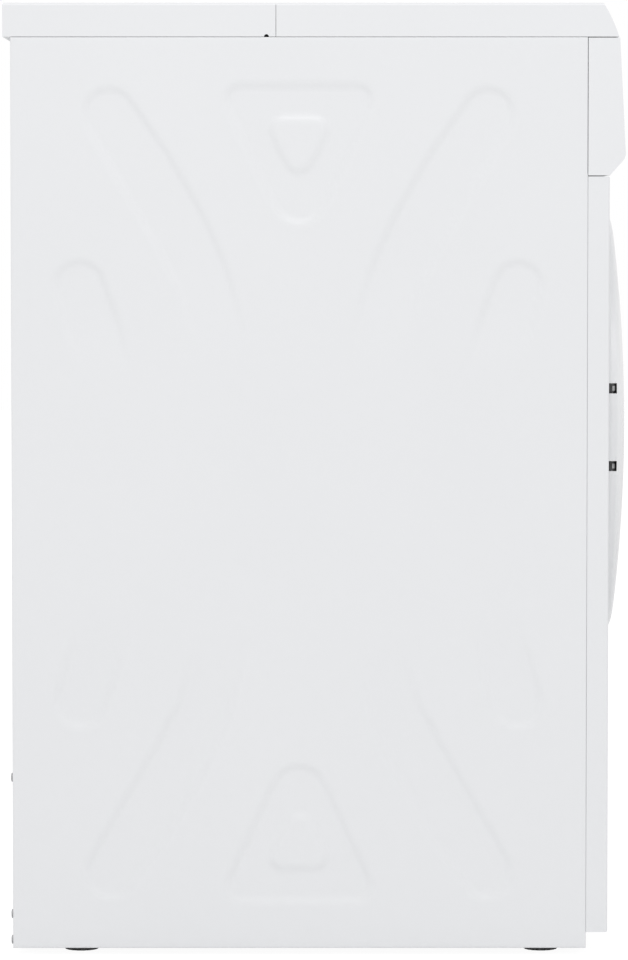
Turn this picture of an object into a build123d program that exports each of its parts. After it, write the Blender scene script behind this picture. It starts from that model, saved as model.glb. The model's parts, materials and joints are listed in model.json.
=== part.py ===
from build123d import *

import os
from itertools import product
from math import atan2, cos, radians, sin, sqrt

# Clothes dryer: a full-size condenser tumble dryer with a round front door.
# Frame: +Z up, front towards -Y, origin on the floor under the middle of the overall box, millimetres.

# Overall box
width = 597.0
depth = 569.2
height = 850.0
door_proud = 30.2  # door crown in front of the front panel's face
trim_overhang = 7.0  # top frame behind the casing

# Sheet, walls and clearances
sheet = 0.9
wall = 2.5
seam = 0.8  # joint between neighbouring outer panels
gap = 0.3  # between pieces that move past each other
running = 0.05  # radial clearance of a shaft in its bearing

# Casing
floor_gap = 6.8  # under the side panels
plinth_gap = 21.0  # under the front panel
front_return = 20.0  # depth of the front panel's turned sides
flange = 18.0  # turned-in edges of the side panels
top_height = 30.0
fascia_height = 122.0
emboss_depth = 1.5
screw_heights = (13.4, 36.6, 159.5)
screw_head_radius = 4.0
screw_head_height = 2.0
screw_radius = 2.0
screw_length = 8.0

# Top frame and worktop
trim_width = 24.0
trim_ledge = 12.0
board_thickness = 16.5
trim_joint_y = 42.0
trim_joint = 0.4
nose_overhang = 8.0  # lower edge of the top frame in front of the front panel
nose_setback = 14.0  # how far the nose leans back over its height
nose_bow = 0.42  # share of the setback reached at half height
trim_round = 2.5
clip_offset = 8.2  # release slot under each side of the frame, behind the joint
clip_radius = 2.2

# Feet
foot_pad_radius = 16.0
foot_pad_height = 7.3
foot_stud_radius = 5.0
foot_stud_length = 34.0
foot_inset = 43.5  # from the casing's sides
front_foot_inset = 38.0  # from the side panels' front edge
rear_foot_inset = 59.5  # from the casing's back

# Base tray
tray_height = 50.0
tray_floor = 4.0
tray_wall = 3.0

# Door
door_margin = 32.0  # door's rim outside the mouth
door_gap = 1.5  # door back to the front panel
door_flank = 15.3
door_shell = 3.5
door_back_round = 8.0
door_front_round = 4.0
door_ring_width = 69.0
window_thickness = 3.0
plug_room = 15.0  # between the door's plug and the mouth
plug_depth = 31.0
plug_taper = 16.0  # plug's opening inside the window's edge
hinge_inset = 8.0  # hinge axis inside the door's rim
hinge_spread = 35.5  # half the height between the hinge arms
hinge_rise = 2.0  # middle of the hinge above the door's middle
hinge_pin_radius = 2.0
hinge_eye_radius = 3.5
hinge_arm = 3.0
hinge_arm_height = 8.0
hinge_setback = 8.0  # hinge axis in front of the door's back
hinge_boss = 6.0
boss_inset = 2.0
hook_inset = 19.0  # hook inside the door's rim
hook_width = 8.0
hook_height = 16.0
hook_depth = 18.0
hook_room = 4.0  # round the hook in its slot
lock_margin = 12.0
lock_ear = 18.0
bracket_margin = 20.0

# Mouth and drum
mouth_step = 103.0  # mouth inside the drum's radius
mouth_hole = 9.0  # front panel's hole outside the mouth
lip_width = 19.0
shield_setback = 68.0  # behind the front panel's face
shield_thickness = 4.0
drum_side_room = 30.5  # between the drum and the outside of the casing
drum_head_room = 85.0  # between the drum and the top frame
drum_base = 199.0  # height of the equipment under the drum
drum_sheet = 0.8
drum_setback = 32.2  # drum's rear edge in front of the rear air duct
drum_gap = 16.0  # front shield to the drum's front edge
drum_hole_radius = 9.0
drum_hole_rows = ((0.32, 12), (0.46, 18), (0.60, 24), (0.74, 30))  # share of the radius, holes
drum_neck = 28.0  # width of the drum's turned-in front edge
felt_thickness = 8.0
felt_width = 10.0
lifter_width = 70.0
lifter_height = 52.0
lifter_top = 20.0
lifter_wall = 3.0
lifter_count = 3
shaft_radius = 10.0
shaft_flange_radius = 40.0
shaft_flange = 6.0
bush_wall = 8.0
bush_length = 32.0
roller_radius = 35.0
roller_width = 20.0
roller_angle = 45.0
axle_radius = 6.0
roller_inset = 7.0  # drum's front edge to the rollers

# Lint filter
filter_width = 187.0
filter_thickness = 27.0
filter_clearance = 12.0  # above the condenser
filter_grip = 48.0

# Drive
motor_inset = 133.5  # from the casing's right side
motor_z = 116.0
motor_radius = 52.0
motor_length = 140.0
motor_room = 30.0  # behind the motor, to the middle of the belt
motor_shaft_radius = 6.0
pulley_radius = 8.0
pulley_width = 24.0
belt_room = 21.2  # in front of the blower, to the middle of the belt
belt_width = 9.0
belt_thickness = 2.5
idler_radius = 18.0
idler_width = 12.0
idler_distance = 70.0  # along the belt from the motor pulley
idler_arm_length = 62.0
idler_arm_width = 14.0
idler_arm_thickness = 5.0
idler_pin_radius = 4.0
idler_round = 1.0

# Air path
fan_radius = 68.0
fan_length = 40.0
fan_blades = 12
blade_thickness = 2.0
fan_hub_radius = 14.0
fan_room = 4.0  # round the cooling fan in its shroud
fan_setback = 12.0  # cooling fan in front of the motor
blade_angle = 20.0
blower_radius = 80.0
blower_length = 76.0
duct_step = 46.0  # duct's rim inside the drum's radius
duct_depth = 40.0
duct_wall = 1.0
heater_step = 47.0  # heater inside the duct's rim
heater_width = 20.0
heater_thickness = 14.0
heater_stand = 8.0
heater_post_radius = 5.0

# Condenser and its flap
condenser_inset = 161.5  # condenser's middle from the casing's left side
condenser_width = 206.0
condenser_z = 42.0
condenser_height = 120.0
condenser_gap = 33.5  # behind the condenser, to the sump
condenser_fins = 9
condenser_rim = 4.0
flap_width = 232.0
flap_height = 134.0
flap_z = 103.0
flap_depth = 12.0
flap_notch = 34.0
flap_pin_radius = 2.0
lever_length = 34.0
lever_width = 12.0
lever_thickness = 8.0

# Water
tank_inset = 81.0  # tank's middle from the casing's side
tank_width = 123.0
tank_drop = 87.2  # tank's underside below the fascia's top
tank_height = 66.0
tank_length = 386.0
tank_wall = 2.0
tank_front_width = 135.0
tank_front_height = 78.0
pump_side = 108.5  # sump's middle from the casing's left side
pump_inset = 82.2  # sump's middle from the rear panel
pump_size = 90.0
pump_height = 60.0
float_radius = 25.0
float_height = 20.0
float_pin_radius = 4.0

# Controls
control_drop = 60.2  # line of the knob and the start button below the fascia's top
knob_radius = 31.0
knob_height = 16.0
knob_shaft_radius = 3.0
knob_taper = 6.0
knob_mark = (2.0, 12.4, 1.0)  # width, length and depth of the pointer line
button_width = 22.0
button_height = 10.0
button_proud = 2.5
button_round = 2.0
start_inset = 83.5  # start button from the casing's right side
option_inset = 167.5  # display and option button from the casing's right side
option_drop = 22.0  # option button below the line of the knob
display_rise = 13.0  # display above the line of the knob
display_width = 74.0
display_height = 26.0
display_round = 3.0

# Places that follow from the sizes above
half = width / 2
inner = half - sheet
face_y = -depth / 2 + door_proud
seam_y = face_y + front_return
back_y = depth / 2 - trim_overhang
rear_in = back_y - 2 * sheet
top_z = height - top_height
fascia_top = top_z - seam
fascia_bottom = fascia_top - fascia_height
panel_top = fascia_bottom - seam
base_z = floor_gap + sheet
tray_front = seam_y + sheet
tray_top = base_z + tray_height
tray_in = base_z + tray_floor
lining = inner - emboss_depth - gap  # clear of the side panels' pressings
drum_radius = min(half - drum_side_room, (top_z - drum_head_room - drum_base) / 2)
drum_neck_radius = drum_radius - drum_neck
door_z = drum_base + drum_radius
mouth_radius = drum_radius - mouth_step
door_radius = mouth_radius + door_margin
window_radius = door_radius - door_ring_width
plug_radius = mouth_radius - plug_room
plug_open_radius = window_radius - plug_taper
hinge_x = hinge_inset - door_radius
hook_x = door_radius - hook_inset
shield_y = face_y + shield_setback
motor_x = half - motor_inset
condenser_x = condenser_inset - half
pump_x = pump_side - half
duct_radius = drum_radius - duct_step
tank_x = tank_inset - half
tank_z = fascia_top - tank_drop
knob_z = fascia_top - control_drop
start_x = half - start_inset
option_x = half - option_inset
option_z = knob_z - option_drop
display_z = knob_z + display_rise
pump_y = rear_in - pump_inset
duct_front = rear_in - duct_depth
duct_circles = ((0, door_z, duct_radius), (motor_x, motor_z, blower_radius + duct_wall * 2))
door_axis = Axis((0, 0, door_z), (0, 1, 0))

os.makedirs("parts", exist_ok=True)


def block(xs, ys, zs, mode=Mode.ADD):
    """Box between two values on each axis, given in either order."""
    centre = tuple((a + b) / 2 for a, b in (xs, ys, zs))
    with Locations(centre):
        Box(abs(xs[1] - xs[0]), abs(ys[1] - ys[0]), abs(zs[1] - zs[0]), mode=mode)


def rod(x, z, ys, radius, mode=Mode.ADD):
    """Cylinder along Y between two values of Y."""
    with Locations(Location((x, min(ys), z), (-90, 0, 0))):
        base = (Align.CENTER, Align.CENTER, Align.MIN)
        Cylinder(radius, abs(ys[1] - ys[0]), align=base, mode=mode)


def post(x, y, zs, radius, mode=Mode.ADD):
    """Cylinder along Z between two values of Z."""
    with Locations((x, y, min(zs))):
        base = (Align.CENTER, Align.CENTER, Align.MIN)
        Cylinder(radius, abs(zs[1] - zs[0]), align=base, mode=mode)


def profile(points, plane):
    """Closed outline through points on a plane."""
    with BuildSketch(plane) as outline:
        with BuildLine():
            Polyline(*points, close=True)
        make_face()
    return outline.sketch


def turned(points):
    """Outline of (radius, y) points, ready to be revolved about the door's and drum's axis."""
    return profile(points, Plane.XY.offset(door_z))


def hull(circles, plane):
    """Outline drawn tight round circles, each given as (x, y, radius)."""
    with BuildSketch(plane) as outline:
        for x, y, radius in circles:
            with Locations((x, y)):
                Circle(radius)
        make_hull()
    return outline.sketch


# Side panels: one sheet each with turned-in edges and pressed stiffening pockets.
# Pocket outlines are circles from the panel's middle, as (y, z, radius), drawn tight together.
panel_mid_y = (seam_y + back_y) / 2
panel_mid_z = (floor_gap + top_z) / 2
long_rib = ((167.0, 338.0, 22.0), (92.0, 182.0, 26.0))
short_rib = ((195.0, 185.5, 21.5), (173.0, 116.0, 21.5))
triangle = ((-53.2, 350.0, 10.0), (53.2, 350.0, 10.0), (0.0, 268.0, 20.0))
island = ((-13.6, 324.0, 9.0), (13.6, 324.0, 9.0), (0.0, 294.5, 9.0))
screw_x = half - flange / 2


def pressing(plane, grow):
    """All the pockets of a side panel, widened by grow, with the raised islands left out of them."""
    with BuildSketch(plane) as pattern:
        for rib in (long_rib, short_rib):
            for sy, sz in product((-1, 1), (-1, 1)):
                add(hull([(sy * y, sz * z, r + grow) for y, z, r in rib], Plane.XY))
        for sz in (-1, 1):
            add(hull([(y, sz * z, r + grow) for y, z, r in triangle], Plane.XY))
            raised = hull([(y, sz * z, r - grow) for y, z, r in island], Plane.XY)
            add(raised, mode=Mode.SUBTRACT)
    return pattern.sketch


for side, hand in (("left", -1), ("right", 1)):
    outer_plane = Plane(
        origin=(hand * half, panel_mid_y, panel_mid_z), x_dir=(0, 1, 0), z_dir=(1, 0, 0)
    )
    with BuildPart() as side_panel:
        block((hand * inner, hand * half), (seam_y, back_y), (floor_gap, top_z))
        edge = (hand * (half - flange), hand * half)
        block(edge, (seam_y, seam_y + sheet), (floor_gap, top_z))
        block(edge, (back_y - sheet, back_y), (floor_gap, top_z))
        block(edge, (seam_y, back_y), (floor_gap, floor_gap + sheet))
        block(edge, (seam_y, back_y), (top_z - sheet, top_z))
        extrude(pressing(outer_plane, sheet), amount=-hand * (emboss_depth + sheet))
        extrude(pressing(outer_plane, 0), amount=-hand * emboss_depth, mode=Mode.SUBTRACT)
        for z in screw_heights:
            rod(hand * screw_x, z, (back_y - sheet, back_y), screw_radius, mode=Mode.SUBTRACT)
    side_panel.part.label = f"{side}_side_panel"
    export_step(side_panel.part, f"parts/{side}_side_panel.step")

# Rear panel: a flat sheet behind the side panels' rear flanges, with outlet slots for the cooling air.
gland_inset = 48.5  # from the casing's side
gland_drop = 76.0  # below the top frame
gland_x = half - gland_inset
gland_z = top_z - gland_drop
gland_radius = 8.0
outlet_x = -150.0
outlet_z = 110.0
outlet_pitch = 12.0
outlet_rows = 10
outlet_slot = (120.0, 5.0)

with BuildPart() as rear_panel:
    block((-inner + gap, inner - gap), (rear_in, back_y - sheet), (base_z + gap, top_z - sheet - gap))
    rod(gland_x, gland_z, (rear_in, back_y), gland_radius, mode=Mode.SUBTRACT)
    with BuildSketch(Plane.XZ.offset(-back_y)) as outlets:
        with Locations((outlet_x, outlet_z)):
            with GridLocations(0, outlet_pitch, 1, outlet_rows):
                SlotOverall(*outlet_slot)
    extrude(amount=trim_overhang, mode=Mode.SUBTRACT)
    for hand, z in product((-1, 1), screw_heights):
        rod(hand * screw_x, z, (rear_in, back_y), screw_radius, mode=Mode.SUBTRACT)
rear_panel.part.label = "rear_panel"
export_step(rear_panel.part, "parts/rear_panel.step")

# Rear screws: pan heads on the side panels' rear flanges.
with BuildPart() as rear_screws:
    for hand, z in product((-1, 1), screw_heights):
        rod(hand * screw_x, z, (back_y, back_y + screw_head_height), screw_head_radius)
        rod(hand * screw_x, z, (back_y - screw_length, back_y), screw_radius - running)
rear_screws.part.label = "rear_screws"
export_step(rear_screws.part, "parts/rear_screws.step")

# Mains gland: a rubber grommet in the rear panel.
with BuildPart() as mains_gland:
    rod(gland_x, gland_z, (back_y - sheet, back_y + trim_overhang / 2), gland_radius * 1.4)
    rod(gland_x, gland_z, (rear_in, back_y - sheet), gland_radius)
    rod(gland_x, gland_z, (rear_in - wall, rear_in), gland_radius * 1.25)
    rod(gland_x, gland_z, (rear_in - wall, back_y + trim_overhang), gland_radius / 2, mode=Mode.SUBTRACT)
mains_gland.part.label = "mains_gland"
export_step(mains_gland.part, "parts/mains_gland.step")

# Base tray: a moulded pan on the side panels' lower flanges, with the foot bosses and equipment seats.
condenser_left = condenser_x - condenser_width / 2
condenser_right = condenser_x + condenser_width / 2
condenser_front = seam_y + wall * 3
condenser_back = pump_y - pump_size / 2 - condenser_gap
condenser_top = condenser_z + condenser_height
blower_back = duct_front
blower_front = blower_back - blower_length
belt_y = blower_front - belt_room
motor_end = belt_y - motor_room
motor_y = motor_end - motor_length
foot_x = half - foot_inset
front_foot_y = seam_y + front_foot_inset
rear_foot_y = back_y - rear_foot_inset
feet = {
    "front_left_foot": (-foot_x, front_foot_y),
    "front_right_foot": (foot_x, front_foot_y),
    "rear_left_foot": (-foot_x, rear_foot_y),
    "rear_right_foot": (foot_x, rear_foot_y),
}
boss_radius = foot_stud_radius * 2.4
saddle_width = motor_radius * 1.5
saddle_length = 15.0
rail_width = 14.0

with BuildPart() as base_tray:
    tray_x = lining
    block((-tray_x, tray_x), (tray_front, rear_in), (base_z, tray_top))
    inside_x = tray_x - tray_wall
    inside_y = (tray_front + tray_wall, rear_in - tray_wall)
    block((-inside_x, inside_x), inside_y, (tray_in, tray_top), mode=Mode.SUBTRACT)
    entry = (condenser_left - wall * 2, condenser_right + wall * 2)
    block(entry, (tray_front, tray_front + tray_wall), (condenser_z - gap, tray_top), mode=Mode.SUBTRACT)
    for x in (condenser_left, condenser_right - rail_width):
        rail = (x, x + rail_width)
        block(rail, (tray_front, condenser_back), (tray_in, condenser_z - gap))
    for y in (motor_y + motor_length * 0.2, motor_y + motor_length * 0.7):
        saddle = (motor_x - saddle_width / 2, motor_x + saddle_width / 2)
        block(saddle, (y, y + saddle_length), (tray_in, motor_z - motor_radius * 0.6))
    rod(motor_x, motor_z, (motor_y, motor_y + motor_length), motor_radius + gap, mode=Mode.SUBTRACT)
    cradle = (motor_x - blower_radius * 0.6, motor_x + blower_radius * 0.6)
    block(cradle, (blower_front, blower_back), (tray_in, motor_z - blower_radius * 0.7))
    rod(motor_x, motor_z, (blower_front, blower_back), blower_radius + gap, mode=Mode.SUBTRACT)
    lobe = [(x, z, r + gap) for x, z, r in duct_circles]
    extrude(hull(lobe, Plane.XZ.offset(-rear_in)), amount=tray_wall, mode=Mode.SUBTRACT)
    for hand, z in product((-1, 1), screw_heights):
        rod(hand * screw_x, z, (back_y - screw_length, rear_in), screw_radius, mode=Mode.SUBTRACT)
    for x, y in feet.values():
        post(x, y, (tray_in, tray_top), boss_radius)
        bore = foot_stud_radius + running
        post(x, y, (base_z, foot_pad_height + foot_stud_length + gap), bore, mode=Mode.SUBTRACT)
base_tray.part.label = "base_tray"
export_step(base_tray.part, "parts/base_tray.step")

# Levelling feet: a low round pad on a threaded stud.
for name, (x, y) in feet.items():
    with BuildPart() as foot:
        post(x, y, (0, foot_pad_height), foot_pad_radius)
        fillet(foot.edges().filter_by(GeomType.CIRCLE).sort_by(Axis.Z)[-1], foot_pad_height / 3)
        post(x, y, (foot_pad_height, foot_pad_height + foot_stud_length), foot_stud_radius)
    foot.part.label = name
    export_step(foot.part, f"parts/{name}.step")

# Cross rails: folded channels that tie the side panels together under the worktop.
rail_depth = 20.0
rail_height = 17.0
front_rail_y = seam_y + sheet + wall * 2
rear_rail_y = rear_in - rail_depth - wall
with BuildPart() as top_rails:
    for y in (front_rail_y, rear_rail_y):
        rail_top = top_z - sheet
        block((-inner, inner), (y, y + rail_depth), (rail_top - rail_height, rail_top))
        hollow = (y + sheet, y + rail_depth - sheet)
        block((-inner, inner), hollow, (rail_top - rail_height, rail_top - sheet), mode=Mode.SUBTRACT)
top_rails.part.label = "top_rails"
export_step(top_rails.part, "parts/top_rails.step")

# Front panel: a folded pan with the mouth, the condenser opening, the hinge slots and the hook slot.
panel_back = seam_y - seam
panel_in = face_y + sheet
hinge_y = face_y - door_gap - hinge_setback
hinge_z = door_z + hinge_rise
hinge_heights = (hinge_z - hinge_spread, hinge_z + hinge_spread)
hook_slot = hook_width / 2 + hook_room
hook_slot_height = hook_height / 2 + hook_room
flap_x = condenser_x
flap_left = flap_x - flap_width / 2
flap_right = flap_x + flap_width / 2
flap_bottom = flap_z - flap_height / 2
flap_top = flap_z + flap_height / 2
flap_pin_x = flap_left + flap_pin_radius * 2
flap_pin_y = face_y + flap_pin_radius * 2
ear_height = 5.0
ear_size = flap_pin_radius * 2

with BuildPart() as front_panel:
    block((-half, half), (face_y, panel_back), (plinth_gap, panel_top))
    fillet(front_panel.faces().sort_by(Axis.Y)[0].edges(), 2 * sheet)
    pan_z = (plinth_gap + sheet, panel_top - sheet)
    block((-inner, inner), (panel_in, panel_back), pan_z, mode=Mode.SUBTRACT)
    rod(0, door_z, (face_y, panel_in), mouth_radius + mouth_hole, mode=Mode.SUBTRACT)
    opening = (flap_left - seam, flap_right + seam)
    block(opening, (face_y, panel_in), (flap_bottom - seam, flap_top + seam), mode=Mode.SUBTRACT)
    for z in hinge_heights:
        slot = (hinge_x - hinge_eye_radius - gap, hinge_x + hinge_eye_radius + gap)
        rise = hinge_arm_height / 2 + gap
        block(slot, (face_y, panel_in), (z - rise, z + rise), mode=Mode.SUBTRACT)
    catch = (hook_x - hook_slot, hook_x + hook_slot)
    catch_z = (door_z - hook_slot_height, door_z + hook_slot_height)
    block(catch, (face_y, panel_in), catch_z, mode=Mode.SUBTRACT)
    for z in (flap_bottom - seam - ear_height, flap_top + seam):
        ear_x = (flap_pin_x - ear_size, flap_pin_x + ear_size)
        block(ear_x, (panel_in, flap_pin_y + ear_size), (z, z + ear_height))
        post(flap_pin_x, flap_pin_y, (z, z + ear_height), flap_pin_radius + running, mode=Mode.SUBTRACT)
front_panel.part.label = "front_panel"
export_step(front_panel.part, "parts/front_panel.step")

# Condenser flap: a shallow cover on two pins at its left edge, with a finger notch at the right.
with BuildPart() as condenser_flap:
    block((flap_left, flap_right), (face_y, face_y + flap_depth), (flap_bottom, flap_top))
    fillet(condenser_flap.faces().sort_by(Axis.Y)[0].edges(), wall)
    hollow_x = (flap_left + wall * 3, flap_right - wall)
    hollow_z = (flap_bottom + wall, flap_top - wall)
    block(hollow_x, (face_y + wall, face_y + flap_depth), hollow_z, mode=Mode.SUBTRACT)
    notch = (flap_right - wall * 6, flap_right)
    notch_z = (flap_z - flap_notch / 2, flap_z + flap_notch / 2)
    block(notch, (face_y, face_y + flap_depth), notch_z, mode=Mode.SUBTRACT)
    pin_reach = seam + ear_height
    post(flap_pin_x, flap_pin_y, (flap_bottom - pin_reach, flap_top + pin_reach), flap_pin_radius)
condenser_flap.part.label = "condenser_flap"
export_step(condenser_flap.part, "parts/condenser_flap.step")

# Top frame: two U-shaped mouldings that meet at a joint on each side and carry the worktop on a ledge.
nose_y = face_y - nose_overhang
board_front = nose_y + nose_setback + trim_width
board_back = depth / 2 - trim_width
board_x = half - trim_width
board_bottom = height - board_thickness
front_end = trim_joint_y - trim_joint / 2
rear_end = trim_joint_y + trim_joint / 2

with BuildPart() as top_front_frame:
    with BuildSketch(Plane.YZ.offset(-half)):
        with BuildLine():
            nose_middle = (nose_y + nose_setback * nose_bow, top_z + top_height / 2)
            ThreePointArc((nose_y, top_z), nose_middle, (nose_y + nose_setback, height))
            Polyline(
                (nose_y + nose_setback, height), (front_end, height), (front_end, top_z), (nose_y, top_z)
            )
        make_face()
    extrude(amount=width)
    block((-board_x, board_x), (board_front, front_end), (board_bottom, height), mode=Mode.SUBTRACT)
    well = board_x - trim_ledge
    block((-well, well), (board_front + trim_ledge, front_end), (top_z, height), mode=Mode.SUBTRACT)
    rims = top_front_frame.edges().filter_by(Axis.Y).group_by(Axis.Z)[-1].sort_by(Axis.X)
    fillet([rims[0], rims[-1]], trim_round)
top_front_frame.part.label = "top_front_frame"
export_step(top_front_frame.part, "parts/top_front_frame.step")

with BuildPart() as top_rear_frame:
    block((-half, half), (rear_end, depth / 2), (top_z, height))
    block((-board_x, board_x), (rear_end, board_back), (board_bottom, height), mode=Mode.SUBTRACT)
    well = board_x - trim_ledge
    block((-well, well), (rear_end, board_back - trim_ledge), (top_z, height), mode=Mode.SUBTRACT)
    with BuildSketch(Plane.YZ.offset(-half)):
        with Locations((rear_end + clip_offset, top_z)):
            Circle(clip_radius)
    extrude(amount=width, mode=Mode.SUBTRACT)
    rims = top_rear_frame.edges().filter_by(Axis.Y).group_by(Axis.Z)[-1].sort_by(Axis.X)
    rear_rim = top_rear_frame.edges().filter_by(Axis.X).group_by(Axis.Z)[-1].sort_by(Axis.Y)[-1]
    fillet([rims[0], rims[-1], rear_rim], trim_round)
top_rear_frame.part.label = "top_rear_frame"
export_step(top_rear_frame.part, "parts/top_rear_frame.step")

with BuildPart() as top_board:
    reach = board_x - gap
    block((-reach, reach), (board_front + gap, board_back - gap), (board_bottom, height - trim_joint))
top_board.part.label = "top_board"
export_step(top_board.part, "parts/top_board.step")

# Fascia: a hollow moulding whose face leans back, with a rounded lower nose.
fascia_proud_top = 8.8
fascia_proud = 14.3
fascia_chamfer = 16.0
fascia_round = 10.0
nose_z = fascia_bottom + fascia_chamfer
tilt = atan2(fascia_proud - fascia_proud_top, fascia_top - nose_z)


def fascia_y(z):
    """Front face of the fascia at a height."""
    return face_y - fascia_proud + (z - nose_z) * (fascia_proud - fascia_proud_top) / (fascia_top - nose_z)


def fascia_plane(x, z, out=0.0):
    """Plane on the fascia's face, looking out of it, moved out along its normal."""
    face = Plane(origin=(x, fascia_y(z), z), x_dir=(1, 0, 0), z_dir=(0, -cos(tilt), sin(tilt)))
    return face.offset(out)


tank_mid_z = tank_z + tank_height / 2
tank_left = tank_x - tank_front_width / 2
board_ends = (-22.0, half - 26.5)
button_places = {"option_button": (option_x, option_z), "start_button": (start_x, knob_z)}

with BuildPart() as fascia:
    with BuildSketch(Plane.YZ.offset(-half)) as fascia_outline:
        with BuildLine():
            Polyline(
                (panel_back, fascia_bottom),
                (face_y, fascia_bottom),
                (face_y - fascia_proud, nose_z),
                (face_y - fascia_proud_top, fascia_top),
                (panel_back, fascia_top),
                close=True,
            )
        make_face()
        fillet(fascia_outline.vertices().sort_by(Axis.X)[0], fascia_round)
    extrude(amount=width)
    offset(amount=-wall, openings=fascia.faces().sort_by(Axis.Y)[-1])
    mouth_x = (tank_left - seam, tank_left + tank_front_width + seam)
    rise = tank_front_height / 2 + seam
    block(mouth_x, (-depth / 2, panel_back), (tank_mid_z - rise, tank_mid_z + rise), mode=Mode.SUBTRACT)
    for x in (board_ends[0] - wall, board_ends[1]):
        rib_front = face_y - fascia_proud_top + wall
        block((x, x + wall), (rib_front, panel_back), (nose_z, fascia_top - wall / 2))
    with BuildSketch(fascia_plane(0, knob_z)):
        Circle(knob_shaft_radius + running)
    for x, z in button_places.values():
        with BuildSketch(fascia_plane(x, z)):
            RectangleRounded(button_width + 2 * gap, button_height + 2 * gap, button_round)
    with BuildSketch(fascia_plane(option_x, display_z)):
        RectangleRounded(display_width + 2 * running, display_height + 2 * running, display_round)
    extrude(amount=-2 * wall, mode=Mode.SUBTRACT)
fascia.part.label = "fascia"
export_step(fascia.part, "parts/fascia.step")

# Display window: a tinted pane flush with the fascia.
with BuildPart() as display_window:
    with BuildSketch(fascia_plane(option_x, display_z)):
        RectangleRounded(display_width, display_height, display_round)
    extrude(amount=-wall)
display_window.part.label = "display_window"
export_step(display_window.part, "parts/display_window.step")

# Programme knob: a ridged cap on a shaft that turns in the fascia.
knob_gap = 0.6
knob_shaft_length = 12.0
with BuildPart() as program_knob:
    with BuildSketch(fascia_plane(0, knob_z, knob_gap)):
        Circle(knob_radius)
    extrude(amount=knob_height, taper=knob_taper)
    with BuildSketch(fascia_plane(0, knob_z, knob_gap)):
        Circle(knob_shaft_radius)
    extrude(amount=-knob_shaft_length)
    with BuildSketch(fascia_plane(0, knob_z, knob_gap + knob_height)):
        with Locations((0, knob_radius * 0.6)):
            Rectangle(knob_mark[0], knob_mark[1])
    extrude(amount=-knob_mark[2], mode=Mode.SUBTRACT)
program_knob.part.label = "program_knob"
export_step(program_knob.part, "parts/program_knob.step")

# Push buttons: caps held by a flange behind the fascia's face.
button_flange = 2.0
for name, (x, z) in button_places.items():
    with BuildPart() as button:
        with BuildSketch(fascia_plane(x, z, -wall - gap)):
            Rectangle(button_width + 2 * button_flange, button_height + 2 * button_flange)
        extrude(amount=-button_flange)
        with BuildSketch(fascia_plane(x, z, -wall - gap)):
            RectangleRounded(button_width, button_height, button_round)
        extrude(amount=wall + gap + button_proud)
    button.part.label = name
    export_step(button.part, f"parts/{name}.step")

# Control board: a circuit board between two ribs of the fascia, with the knob's encoder on it.
board_depth = 14.0
board_height = 76.0
board_sheet = 1.6
with BuildPart() as control_board:
    middle = (board_ends[0] + board_ends[1]) / 2
    with BuildSketch(fascia_plane(middle, tank_mid_z, -board_depth)):
        Rectangle(board_ends[1] - board_ends[0], board_height)
    extrude(amount=-board_sheet)
    with BuildSketch(fascia_plane(0, knob_z, -board_depth)):
        Circle(knob_shaft_radius * 2.5)
    extrude(amount=board_depth - knob_shaft_length + knob_gap - gap)
control_board.part.label = "control_board"
export_step(control_board.part, "parts/control_board.step")

# Water tank: a flat container that draws out to the front on its tray, with a front that closes the fascia.
tank_setback = 10.0
tank_front_y = face_y + tank_setback
tank_back_y = tank_front_y + tank_length
tank_body = (tank_x - tank_width / 2, tank_x + tank_width / 2)
tank_fill_radius = 12.0
plate = 4.0
grip_width = 84.0
grip_height = 26.0
grip_drop = 12.0
grip_z = tank_mid_z - grip_drop

with BuildPart() as water_tank:
    block(tank_body, (tank_front_y, tank_back_y), (tank_z, tank_z + tank_height))
    fillet(water_tank.edges().filter_by(Axis.Y), tank_wall * 3)
    cavity = (tank_body[0] + tank_wall, tank_body[1] - tank_wall)
    cavity_y = (tank_front_y + tank_wall, tank_back_y - tank_wall)
    block(cavity, cavity_y, (tank_z + tank_wall, tank_z + tank_height - tank_wall), mode=Mode.SUBTRACT)
    fill_z = (tank_z + tank_height / 2, tank_z + tank_height)
    post(tank_x, tank_back_y - tank_width / 3, fill_z, tank_fill_radius, mode=Mode.SUBTRACT)
water_tank.part.label = "water_tank"
export_step(water_tank.part, "parts/water_tank.step")

with BuildPart() as tank_front:
    low = tank_mid_z - tank_front_height / 2
    high = tank_mid_z + tank_front_height / 2
    slab = [
        (fascia_y(low), low),
        (fascia_y(high), high),
        (fascia_y(high) + plate, high),
        (fascia_y(low) + plate, low),
    ]
    extrude(profile(slab, Plane.YZ.offset(tank_left)), amount=tank_front_width)
    cup_x = (tank_x - grip_width / 2 - wall, tank_x + grip_width / 2 + wall)
    cup_z = (grip_z - grip_height / 2 - wall, grip_z + grip_height / 2 + wall)
    block(cup_x, (fascia_y(grip_z) + plate / 2, tank_front_y), cup_z)
    with BuildSketch(fascia_plane(tank_x, grip_z, plate)):
        RectangleRounded(grip_width, grip_height, wall * 3)
    grip_depth = tank_front_y - fascia_y(grip_z) - wall
    extrude(amount=-grip_depth - plate, mode=Mode.SUBTRACT)
tank_front.part.label = "tank_front"
export_step(tank_front.part, "parts/tank_front.step")

with BuildPart() as tank_tray:
    shelf = (-lining, tank_body[1] + gap + wall)
    shelf_y = (tray_front, tank_back_y + gap + wall)
    block(shelf, shelf_y, (tank_z - gap - wall, tank_z - gap))
    block((tank_body[1] + gap, shelf[1]), shelf_y, (tank_z - gap, tank_z + wall * 3))
    block(shelf, (tank_back_y + gap, shelf_y[1]), (tank_z - gap, tank_z + tank_height / 2))
tank_tray.part.label = "tank_tray"
export_step(tank_tray.part, "parts/tank_tray.step")

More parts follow.
